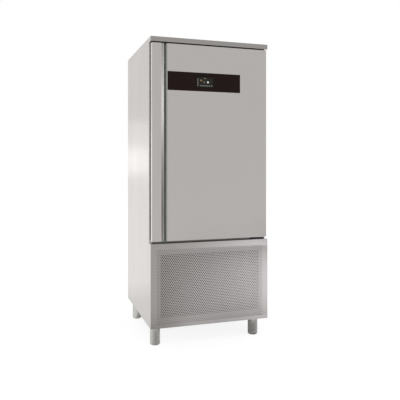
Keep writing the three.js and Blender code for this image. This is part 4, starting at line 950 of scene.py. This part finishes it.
def build_foot(corner):
    low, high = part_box(corner + "_foot")
    radius, brim = (high.x - low.x) / 2, 20 * MM
    sole = [(0, 0), (radius - 10 * MM, 0), *arc(radius - 9 * MM, 9 * MM, 9 * MM, -90, 0, steps=6)]
    rim = from_mm([(0, -0.8), (-0.8, 0)], radius, brim)
    stem = [(11 * MM, brim), *from_mm([(11, -1), (10, 0), (0, 0)], 0, high.z)]
    shape = bmesh.new()
    add_turned(shape, [*sole, *rim, *stem], middle_line(low, high, "z"), 64)
    close_piece(corner + "_foot_cup", shape, leg_steel, corner + "_foot", [corner + "_foot"])


for corner in ("front_left", "front_right", "rear_left", "rear_right"):
    build_leg(corner)
    build_foot(corner)

# %% [markdown]
# ## Control glass and display
# One dark pane lies flush in the door's window, and a small display shows through an opening in it. The
# display has a black rim with round corners, and its screen lies a millimetre back. Its marks are small flat
# shapes that glow a little: a column of signs at the left, a bar at the top and a row of buttons below.

# %% Lay the glass
display_low, display_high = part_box("control_display")
RIM_ROUND = 4 * MM


def build_glass():
    shape = bmesh.new()
    outer = rounded_outline(glass_low.x, glass_high.x, glass_low.z, glass_high.z, 1.2 * MM, steps=3)
    inner = rounded_outline(display_low.x - FIT, display_high.x + FIT, display_low.z - FIT,
                            display_high.z + FIT, RIM_ROUND)
    add_plate(shape, outer, [inner], glass_low.y, glass_high.y)
    close_piece("control_glass_pane", shape, control_glass_finish, "door", ["control_glass"],
                bevel=0.4 * MM)


build_glass()

# %% Set the display in the glass
SCREEN_LEFT, SCREEN_RIGHT, SCREEN_LOW, SCREEN_TOP = 3.5 * MM, 7.5 * MM, 8.5 * MM, 7 * MM
RIM_DEPTH, RIM_GAP, SCREEN_SINK = 5 * MM, 0.2 * MM, 0.8 * MM
MARK_FRONT, MARK_BACK = 0.4 * MM, 0.78 * MM


def build_display():
    shape = bmesh.new()
    screen = (display_low.x + SCREEN_LEFT, display_high.x - SCREEN_RIGHT, display_low.z + SCREEN_LOW,
              display_high.z - SCREEN_TOP)
    opening = rounded_outline(*screen, 1 * MM, steps=3)
    rim = rounded_outline(display_low.x, display_high.x, display_low.z, display_high.z, RIM_ROUND)
    add_plate(shape, rim, [opening], display_low.y, display_low.y + RIM_DEPTH)
    add_prism(shape, rim, display_low.y + RIM_DEPTH + RIM_GAP, display_high.y, "y")
    close_piece("display_rim", shape, bezel_finish, "door", ["control_display"], bevel=0.3 * MM)
    shape = bmesh.new()
    add_prism(shape, opening, display_low.y + SCREEN_SINK, display_low.y + RIM_DEPTH - RIM_GAP, "y")
    close_piece("display_screen", shape, screen_finish, "door", bevel=0.2 * MM)
    return screen


screen = build_display()

# %% [markdown]
# ## Marks on the display
# The display glows only a little, so its marks are dim except for two. They stay plain shapes: dots, bars and
# small blocks placed by their share of the screen's width and height.

# %% Lay the marks
dim_light = lit("dim_marks", tone(158, 156, 148), 0.55)
white_light = lit("white_marks", tone(250, 250, 250), 0.62)
amber_light = lit("amber_marks", tone(180, 146, 70), 0.30)


def add_marks(name, finish, blocks):
    """Flat blocks on the screen: left, low, width and height as shares of the screen, with round corners."""
    left, right, low, high = screen
    shape = bmesh.new()
    for u, v, wide, tall in blocks:
        x0, x1 = left + u * (right - left), left + (u + wide) * (right - left)
        z0, z1 = low + v * (high - low), low + (v + tall) * (high - low)
        outline = rounded_outline(x0, x1, z0, z1, 0.3 * min(x1 - x0, z1 - z0), steps=4)
        add_prism(shape, outline, display_low.y + MARK_FRONT, display_low.y + MARK_BACK, "y")
    close_piece(name, shape, finish, "door")


column = [(0.03, 0.08 + 0.17 * i, 0.055, 0.09) for i in range(5)]
row = [(0.20 + 0.13 * i, 0.07, 0.075, 0.09) for i in range(5)]
add_marks("display_dim_marks", dim_light, [*column, *row, (0.42, 0.90, 0.14, 0.05), (0.42, 0.42, 0.05, 0.16),
                                           (0.86, 0.07, 0.08, 0.09)])
add_marks("display_bright_marks", white_light, [(0.62, 0.42, 0.11, 0.18)])
add_marks("display_amber_marks", amber_light, [(0.20, 0.60, 0.13, 0.17)])

# %% [markdown]
# ## Door seal and door pan
# The inside of the door is a pressed steel pan whose raised plug reaches a little way into the chamber. Round
# it runs a soft seal with a broad foot and a hollow tube that closes on the front frame. Both follow the same
# rounded rectangle, so rings of points at growing distances from it are joined into their walls.

# %% Press the door pan and lay its seal
SEAL_WIDTH, PLUG_ROUND, PLUG_RISE, PAN_SHEET = 18 * MM, 22 * MM, 12.5 * MM, 1.2 * MM


def ring_round(left, right, low, high, radius, grow, y):
    """A rounded rectangle grown outwards by a distance, standing at a depth."""
    outline = rounded_outline(left - grow, right + grow, low - grow, high + grow, radius + grow, steps=8)
    return [(u, y, v) for u, v in outline]


def build_seal():
    low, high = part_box("door_gasket")
    inner = (low.x + SEAL_WIDTH, high.x - SEAL_WIDTH, low.z + SEAL_WIDTH, high.z - SEAL_WIDTH, 10 * MM)
    section = [(0, 0), (0, 2.2), (2.2, 4.2), (5.0, 5.0), (5.8, 6.6), (5.0, 8.2), (5.0, 11.4)]
    section += arc(9, 10.9, 4, 150, 30, steps=4, rise=2.5)
    section += [(13.0, 11.4), (13.0, 8.2), (12.2, 6.6), (13.0, 5.0), (15.8, 4.2), (18, 2.2), (18, 0), (0, 0)]
    shape = bmesh.new()
    add_rings(shape, [ring_round(*inner, out * MM, low.y + up * MM) for out, up in section])
    close_piece("door_seal", shape, soft_rubber, "door", ["door_gasket"], smooth=50)


def build_door_pan():
    low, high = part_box("door_liner")
    seal_low, seal_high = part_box("door_gasket")
    room = SEAL_WIDTH + 17 * MM
    plug = (seal_low.x + room, seal_high.x - room, seal_low.z + room, seal_high.z - room, PLUG_ROUND)
    rest = high.y - PLUG_RISE
    steps = [(2.5, 0.0), (0.7, 0.6), (0.0, 2.5), (0.0, 7.5)]
    steps += arc(-5, 7.5, 5, 0, 90)[1:]
    shape = bmesh.new()
    edge = [(u, rest, v) for u, v in rounded_outline(low.x, high.x, low.z, high.z, 1.5 * MM, steps=8)]
    rows = add_rings(shape, [edge] + [ring_round(*plug, out * MM, rest + up * MM) for out, up in steps])
    shape.faces.new(rows[-1])
    obj = close_piece("door_pan", shape, inner_steel, "door", ["door_liner"])
    if obj.data.polygons[-1].normal.y < 0:
        obj.data.flip_normals()
    thicken(obj, PAN_SHEET)


build_seal()
build_door_pan()

# %% [markdown]
# ## Fans and their panel
# Two fans blow through the evaporator. Each wheel is one moulding: a domed hub and five blades that are broad
# and flat at the tip, narrow and steep at the root, and hollow across. Sections worked out from those rules
# at nine radii are joined into a blade. The motor hangs behind on four bent straps, and a guard of wire rings
# on two bent cross wires stands in front of the panel, whose collars are rolled round like a trumpet's mouth.

# %% Shape the fan wheels
HUB_DEPTH, BLADE_SHEET, BLADES, STATIONS = 30 * MM, 1.5 * MM, 5, 9
BORE = 6.3 * MM


def turn_about(shape, build, centre, angle):
    """Turn only what build adds, about the line through centre that runs to the back."""
    before = set(shape.verts)
    build()
    fresh = [vert for vert in shape.verts if vert not in before]
    bmesh.ops.rotate(shape, cent=centre, matrix=Matrix.Rotation(angle, 3, "Y"), verts=fresh)


def blade_section(radius, reach, centre, rear):
    """The closed outline of a blade where it crosses one radius."""
    chord = (46 + 46 * reach - 20 * reach ** 2) * MM
    pitch = math.radians(31 - 7 * reach - 2 * reach ** 2)
    outline = []
    for side in (1, -1):
        for i in range(-6, 7):
            u = side * i / 6
            way = u * chord / 2
            lift = (1 - u * u) * 4.5 * MM + side * BLADE_SHEET / 2 * (1 - 0.7 * u ** 4)
            along = way * math.cos(pitch) - lift * math.sin(pitch)
            rise = way * math.sin(pitch) + lift * math.cos(pitch)
            angle = along / radius
            depth = rear - HUB_DEPTH / 2 + BLADE_SHEET - rise
            outline.append(centre + Vector((radius * math.cos(angle), depth, radius * math.sin(angle))))
    return outline


def build_wheel(node, body, tip, hub, rear):
    centre = middle_line(*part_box(node), "y")
    root, front = hub - 5 * MM, rear - HUB_DEPTH
    shape = bmesh.new()
    add_turned(shape, [*from_mm([(0, -20), (0, 0)], BORE, rear), *from_mm([(-3, 0), (0, -1)], hub, rear),
                       *arc(hub - 6 * MM, front + 8 * MM, 6 * MM, 0, -90), (hub / 2, front + 0.6 * MM),
                       (0, front)], centre, 64, "y")

    def add_blade():
        reaches = [i / (STATIONS - 1) for i in range(STATIONS)]
        add_rings(shape, [blade_section(root + (tip - root) * reach, reach, centre, rear)
                          for reach in reaches], capped=True)

    for i in range(BLADES):
        turn_about(shape, add_blade, centre, math.radians(360 / BLADES * i))
    close_piece(node + "_wheel", shape, dark_plastic, body, [node], smooth=40)


panel_low, panel_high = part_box("fan_panel")
FAN_REAR = panel_high.y + FIT
CONDENSER_FAN_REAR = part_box("condenser_fan_shroud")[1].y + HUB_DEPTH / 2
EVAPORATOR_FANS = ("lower_fan", "upper_fan")
for fan in EVAPORATOR_FANS:
    build_wheel(fan + "_blade", fan, tip=160 * MM, hub=40 * MM, rear=FAN_REAR)
build_wheel("condenser_fan_blade", "condenser_fan", tip=128 * MM, hub=36 * MM, rear=CONDENSER_FAN_REAR)

# %% Hang the motors on their straps
STRAP_WIDTH, STRAP_SHEET = 12 * MM, 2.5 * MM


def build_motor(node, arm, rise, rear):
    """A round can with its shaft, and four straps that run out past the blades and bend to the panel."""
    low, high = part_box(node)
    centre = middle_line(low, high, "y")
    shaft = [(0, -19.7), (6, -19.7), (6, 3)]
    can = [(20, 3), (37, 4.5), (39.2, 5.4), (40, 7), (40, 15), (41.2, 15.5), (41.2, 18.5), (40, 19), (40, 34),
           (38.5, 38), (34, 41.4), (12, 42)]
    shape = bmesh.new()
    add_turned(shape, [*from_mm(shaft + can, 0, rear), (0, high.y)], centre, 48, "y")
    inner, outer, back, bend = 28 * MM, arm + 4 * MM, rear + 13 * MM, 5 * MM
    side = [(inner, back), *arc(outer - bend, back - bend, bend, 90, 0), (outer, rear - rise),
            (outer - STRAP_SHEET, rear - rise), *arc(outer - bend, back - bend, bend - STRAP_SHEET, 0, 90),
            (inner, back - STRAP_SHEET)]

    def add_strap():
        outline = [(centre.x + u, v) for u, v in side]
        add_prism(shape, outline, centre.z - STRAP_WIDTH / 2, centre.z + STRAP_WIDTH / 2)

    for i in range(4):
        turn_about(shape, add_strap, centre, math.radians(45 + 90 * i))
    close_piece(node + "_can", shape, black_enamel, "cabinet", [node], smooth=40)


for fan in EVAPORATOR_FANS:
    build_motor(fan + "_motor", arm=170.5 * MM, rise=28.5 * MM, rear=FAN_REAR)
build_motor("condenser_fan_motor", arm=146 * MM, rise=14.7 * MM, rear=CONDENSER_FAN_REAR)

# %% Bend the wire guards
GUARD_RINGS, GUARD_INNER, GUARD_EDGE = 11, 22 * MM, 2.2 * MM


def build_guard(node):
    low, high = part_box(node)
    front = low.y + GUARD_EDGE
    middle = middle_line(low, high, "y")
    outer = (high.x - low.x) / 2 - GUARD_EDGE
    shape = bmesh.new()
    for i in range(GUARD_RINGS + 1):
        radius = GUARD_INNER + (outer - GUARD_INNER) * i / GUARD_RINGS
        path = [Vector((x, front, z)) for x, z in circle(middle.x, middle.z, radius, 72)]
        add_tube(shape, path, (2.0 if i == GUARD_RINGS else 1.3) * MM, sides=8, closed=True)
    for turn in (45, 135):
        away = outer * Vector((math.cos(math.radians(turn)), 0, math.sin(math.radians(turn))))
        foot, back = middle + Vector((0, high.y, 0)), middle + Vector((0, front + 2.6 * MM, 0))
        ends = [foot - away, back - away, back + away, foot + away]
        add_tube(shape, softened(ends, 6 * MM), 1.6 * MM, sides=8)
    plate = from_mm([(0, -1.4), (19, -1.4), (20, -0.6), (20, 0), (0, 0)], 0, front)
    add_turned(shape, plate, middle, 48, "y")
    close_piece(node + "_wires", shape, inner_steel, "cabinet", [node], smooth=50)


for fan in EVAPORATOR_FANS:
    build_guard(fan + "_guard")

# %% Punch the fan panel and roll its collars
PANEL_SHEET, SEAM, OPENING = 1.5 * MM, 240 * MM, 171.5 * MM
SLOT_PLACE, SLOT_HALF, SLOT_REACH = 275 * MM, 11 * MM, 190 * MM
SCREW_PLACE, SCREW_INSET = 220 * MM, 18 * MM


def add_screw(shape, x, z, y, facing):
    """A low round screw head with a socket, on a sheet that faces the front (-1) or the back (1)."""
    head = [(0, 0.5), (1.3, 0.5), (1.3, 1.7), (2.6, 1.6), (3.5, 1.1), (4.0, 0.4), (4.0, -0.3)]
    add_turned(shape, [(radius * MM, y + facing * out * MM) for radius, out in head], (x, 0, z), 20, "y")


def build_fan_panel():
    """A sheet in strips, with a round opening and two long slots for each fan, and rolled collars."""
    shape = bmesh.new()
    front, back = panel_low.y, panel_low.y + PANEL_SHEET
    centres = [middle_line(*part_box(fan + "_blade"), "y").z for fan in EVAPORATOR_FANS]
    levels = [panel_low.z, sum(centres) / 2, panel_high.z]
    for z, bottom, top in zip(centres, levels, levels[1:]):
        add_plate(shape, rectangle(-SEAM, SEAM, bottom, top), [circle(0, z, OPENING, 96)], front, back)
        for inner, outer in ((-SEAM, panel_low.x), (SEAM, panel_high.x)):
            x = math.copysign(SLOT_PLACE, outer)
            slot = rounded_outline(x - SLOT_HALF, x + SLOT_HALF, z - SLOT_REACH, z + SLOT_REACH,
                                   SLOT_HALF - 0.1 * MM, steps=8)
            add_plate(shape, rectangle(inner, outer, bottom, top), [slot], front, back)
    mouth = [(171.4, 0), (169.4, 0.5), (167.6, 2.2), (166.2, 6), (166.2, 29.5), (167.7, 29.5), (167.7, 6.6),
             (168.9, 3.2), (171.4, 1.5), (171.4, 0)]
    for z in centres:
        add_turned(shape, from_mm(mouth, 0, front), (0, 0, z), 96, "y")
    for z in (panel_low.z + SCREW_INSET, (panel_low.z + panel_high.z) / 2, panel_high.z - SCREW_INSET):
        for x in (-SCREW_PLACE, SCREW_PLACE):
            add_screw(shape, x, z, front, -1)
    close_piece("fan_panel_sheet", shape, inner_steel, "cabinet", ["fan_panel"])


build_fan_panel()

# %% [markdown]
# ## The two coils
# A coil is a pack of thin fins on horizontal tubes, held between two end plates. The tubes turn back outside
# the right plate in short bends. The fins are far finer here than in the measured model.

# %% Stack the coils
def build_coil(node, finish, pitch, bends, foot):
    low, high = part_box(node)
    plate, inset, spread, bend_reach = 1.5 * MM, 3 * MM, 14 * MM, 17.5 * MM
    left, right = low.x, high.x - bend_reach
    middle = (low.y + high.y) / 2
    bottom = low.z + foot
    shape = bmesh.new()
    for x in (left, right - plate):
        outline = rounded_outline(low.y, high.y, low.z, high.z, 2 * MM, steps=2)
        add_prism(shape, outline, x, x + plate, "x")
    fin = rectangle(low.y + inset, high.y - inset, bottom + 2 * inset, high.z - 2 * inset)
    count = int((right - left - 4 * plate) / pitch)
    step = (right - left - 4 * plate) / count
    for i in range(count + 1):
        x = left + 2 * plate + step * i
        add_prism(shape, fin, x - 0.2 * MM, x + 0.2 * MM, "x")
    gap = (high.z - bottom) / bends
    for i in range(bends):
        z = bottom + (i + 0.5) * gap
        for level in (z - spread, z + spread):
            add_tube(shape, [Vector((x, middle, level)) for x in (left + plate, right)], 4.5 * MM, sides=10)
        bend = [Vector((u, middle, v)) for u, v in arc(right - plate / 2, z, 13 * MM, -90, 90, steps=12)]
        add_tube(shape, bend, 4.8 * MM, sides=12)
    close_piece(node + "_pack", shape, finish, "cabinet", [node], smooth=40)


build_coil("evaporator_coil", fins, pitch=7 * MM, bends=16, foot=0)
# The condenser's fins take black enamel: partly painted shade, so that the front's holes show dark.
build_coil("condenser_coil", black_enamel, pitch=5 * MM, bends=4, foot=9 * MM)

# %% [markdown]
# ## The refrigeration unit
# The compressor is a welded steel pot on a foot plate, with a seam where its halves meet and a box over its
# terminals. The receiver is an upright bottle with domed ends and the drier a spun copper sleeve. All of
# them are turned, and arcs make their domes.

# %% Turn the compressor, the receiver and the drier
def dome(radius, rise, start):
    """The upper half of an oval, from its edge to its crown."""
    return arc(0, start, radius, 0, 90, steps=8, rise=rise)[:-1] + [(0, start + rise)]


def build_compressor():
    low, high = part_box("compressor")
    x, y = (low.x + high.x) / 2, high.y - 91 * MM
    plate = low.z + 3 * MM
    radius, seam, pipes = 88 * MM, plate + 108 * MM, plate + 144 * MM
    foot = arc(radius * 0.7, plate + 30 * MM, radius * 0.3, -90, 0, steps=6, rise=30 * MM)
    lip = from_mm([(0, 0), (2.2, 0.8), (3, 4), (2.2, 7.2), (0, 8)], radius, seam)
    crown = dome(radius, 44 * MM, high.z - 44 * MM)
    shape = bmesh.new()
    add_turned(shape, [(0, plate - 0.5 * MM), *foot, *lip, *crown], (x, y, 0), 64)
    wide, deep = 118 * MM, 83 * MM
    outline = rounded_outline(x - wide, x + wide, y - deep, y + deep, 20 * MM)
    add_prism(shape, outline, low.z, plate)
    stud = from_mm([(11, -0.2), (11, 4), (8, 5.5), (8, 9), (0, 9)], 0, plate)
    for across, along in rectangle(-96 * MM, 96 * MM, -62 * MM, 62 * MM):
        add_turned(shape, stud, (x + across, y + along, 0), 24)
    for way, stub in ((1, 8 * MM), (-1, 5 * MM)):
        ends = (x + way * radius / 2, x + way * 110 * MM)
        add_tube(shape, [Vector((end, y, pipes)) for end in ends], stub, sides=24)
    close_piece("compressor_pot", shape, black_enamel, "cabinet", ["compressor"],
                bevel=0.8 * MM)
    shape = bmesh.new()
    cover = rounded_outline(x - 23 * MM, x + 23 * MM, plate + 44 * MM, plate + 96 * MM, 6 * MM)
    add_prism(shape, cover, y - 111 * MM, y - 74 * MM, "y")
    close_piece("compressor_terminal_cover", shape, dark_plastic, "cabinet", bevel=2.5 * MM)


def build_receiver():
    low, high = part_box("liquid_receiver")
    centre = middle_line(low, high, "z")
    radius, bottom = 46 * MM, low.z + 21 * MM
    under = [(r, 2 * bottom - z) for r, z in dome(radius, 12 * MM, bottom)[::-1]]
    shape = bmesh.new()
    add_turned(shape, [*under[:-1], *dome(radius, 20 * MM, high.z - 42 * MM)], centre, 48)
    add_turned(shape, from_mm([(37, 0), (37, 14), (35, 14), (35, 0), (37, 0)], 0, low.z), centre, 48)
    neck = from_mm([(0, -45), (6, -45), (6, -0.6), (5.4, 0), (0, 0)], 0, high.z)
    for across in (-radius / 2, radius / 2):
        add_turned(shape, neck, centre + Vector((across, 0, 0)), 24)
    close_piece("receiver_bottle", shape, black_enamel, "cabinet", ["liquid_receiver"])


def build_drier():
    low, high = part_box("filter_drier")
    half = from_mm([(7.5, 0), (7.5, 19), (8.5, 21), (17, 30), (19.2, 33), (20, 37)], 0, low.z)
    other = [(radius, low.z + high.z - z) for radius, z in half[::-1]]
    shape = bmesh.new()
    add_turned(shape, [(0, low.z), *half, *other, (0, high.z)], middle_line(low, high, "z"), 40)
    close_piece("drier_sleeve", shape, copper, "cabinet", ["filter_drier"])


build_compressor()
build_receiver()
build_drier()

# %% [markdown]
# ## Hinges and screws
# The door turns on two pins in flanged plastic bushes, which are turned. The removable sheets are held by
# low screws: one small profile is spun at each place.

# %% Turn the bushes and set the screws
def build_bush(node, outer_end):
    low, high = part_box(node)
    flange = (high.x - low.x) / 2
    body = flange - 5 * MM
    z0, z1, way = (low.z, high.z, MM) if outer_end == "low" else (high.z, low.z, -MM)
    profile = [(BORE, z0 + 0.8 * way), (BORE + 0.8 * MM, z0), (flange - 0.6 * MM, z0),
               (flange, z0 + 0.6 * way), (flange, z0 + 2.5 * way), (body, z0 + 2.5 * way),
               (body, z1 - 0.8 * way), (body - 0.8 * MM, z1), (BORE, z1), (BORE, z0 + 0.8 * way)]
    shape = bmesh.new()
    add_turned(shape, profile, middle_line(low, high, "z"), 40)
    close_piece(node + "_turned", shape, pale_plastic, "door", [node])


def build_screws():
    """Screws at the corners of two sheets that come off, and two more in the middle of the wider one."""
    shape = bmesh.new()
    for node, inset, inner in (("rear_service_panel", 14 * MM, [0]), ("electrical_box", 12 * MM, [])):
        low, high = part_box(node)
        for x in (low.x + inset, *inner, high.x - inset):
            for z in (low.z + 12 * MM, high.z - 12 * MM):
                add_screw(shape, x, z, high.y, 1)
    close_piece("panel_screws", shape, inner_steel, "cabinet")


build_bush("lower_hinge_bush", "low")
build_bush("upper_hinge_bush", "high")
build_screws()

# %% [markdown]
# ## Pieces kept as measured
# Flat sheets, plates and brackets already have their right shape in the measured model. They keep it, and
# get a finish and a small round along their edges, which is what makes a bent or cut sheet catch the light.

# %% Dress the kept pieces
KEPT_ROUND = 0.6 * MM
KEPT = {
    lit_side_steel: ("left_side_panel", "right_side_panel"),
    shaded_lip_steel: ("top_panel",),
    shaded_frame_steel: ("front_frame",),
    galvanised: ("rear_panel", "rear_service_panel", "base_chassis", "machine_ceiling", "electrical_box",
                 "condensate_tray"),
    pale_foam: ("insulation_foam", "door_foam"),
    inner_steel: ("chamber_liner", "left_tray_rack", "right_tray_rack", "evaporator_drip_tray"),
    dark_plastic: ("control_housing", "probe_gland", "mains_gland"),
    pale_plastic: ("drain_pipe",),
    black_enamel: ("upper_hinge_bracket", "lower_hinge_bracket", "condenser_fan_shroud"),
    copper: ("suction_pipe", "discharge_pipe", "condenser_outlet_pipe", "liquid_pipe"),
}
for finish, nodes in KEPT.items():
    for node in nodes:
        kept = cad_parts[node]
        kept.data.materials.clear()
        kept.data.materials.append(finish.material)
        kept.data.shade_smooth()
        kept.data.set_sharp_from_angle(angle=math.radians(SMOOTH_ANGLE))
        soften_corners(kept, KEPT_ROUND)
print("pieces kept as measured:", sum(len(nodes) for nodes in KEPT.values()))

# %% [markdown]
# ## Size
# The dressed cabinet should keep the measured size. Its box is measured again, and how much it grew on each
# side is printed.

# %% Measure the dressed cabinet and print how much it grew
dressed_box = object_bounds()
growth = [(b - a) - (d - c) for a, b, c, d in zip(*dressed_box, *measured_box)]
print("grown by mm:", [round(side / MM, 2) for side in growth])
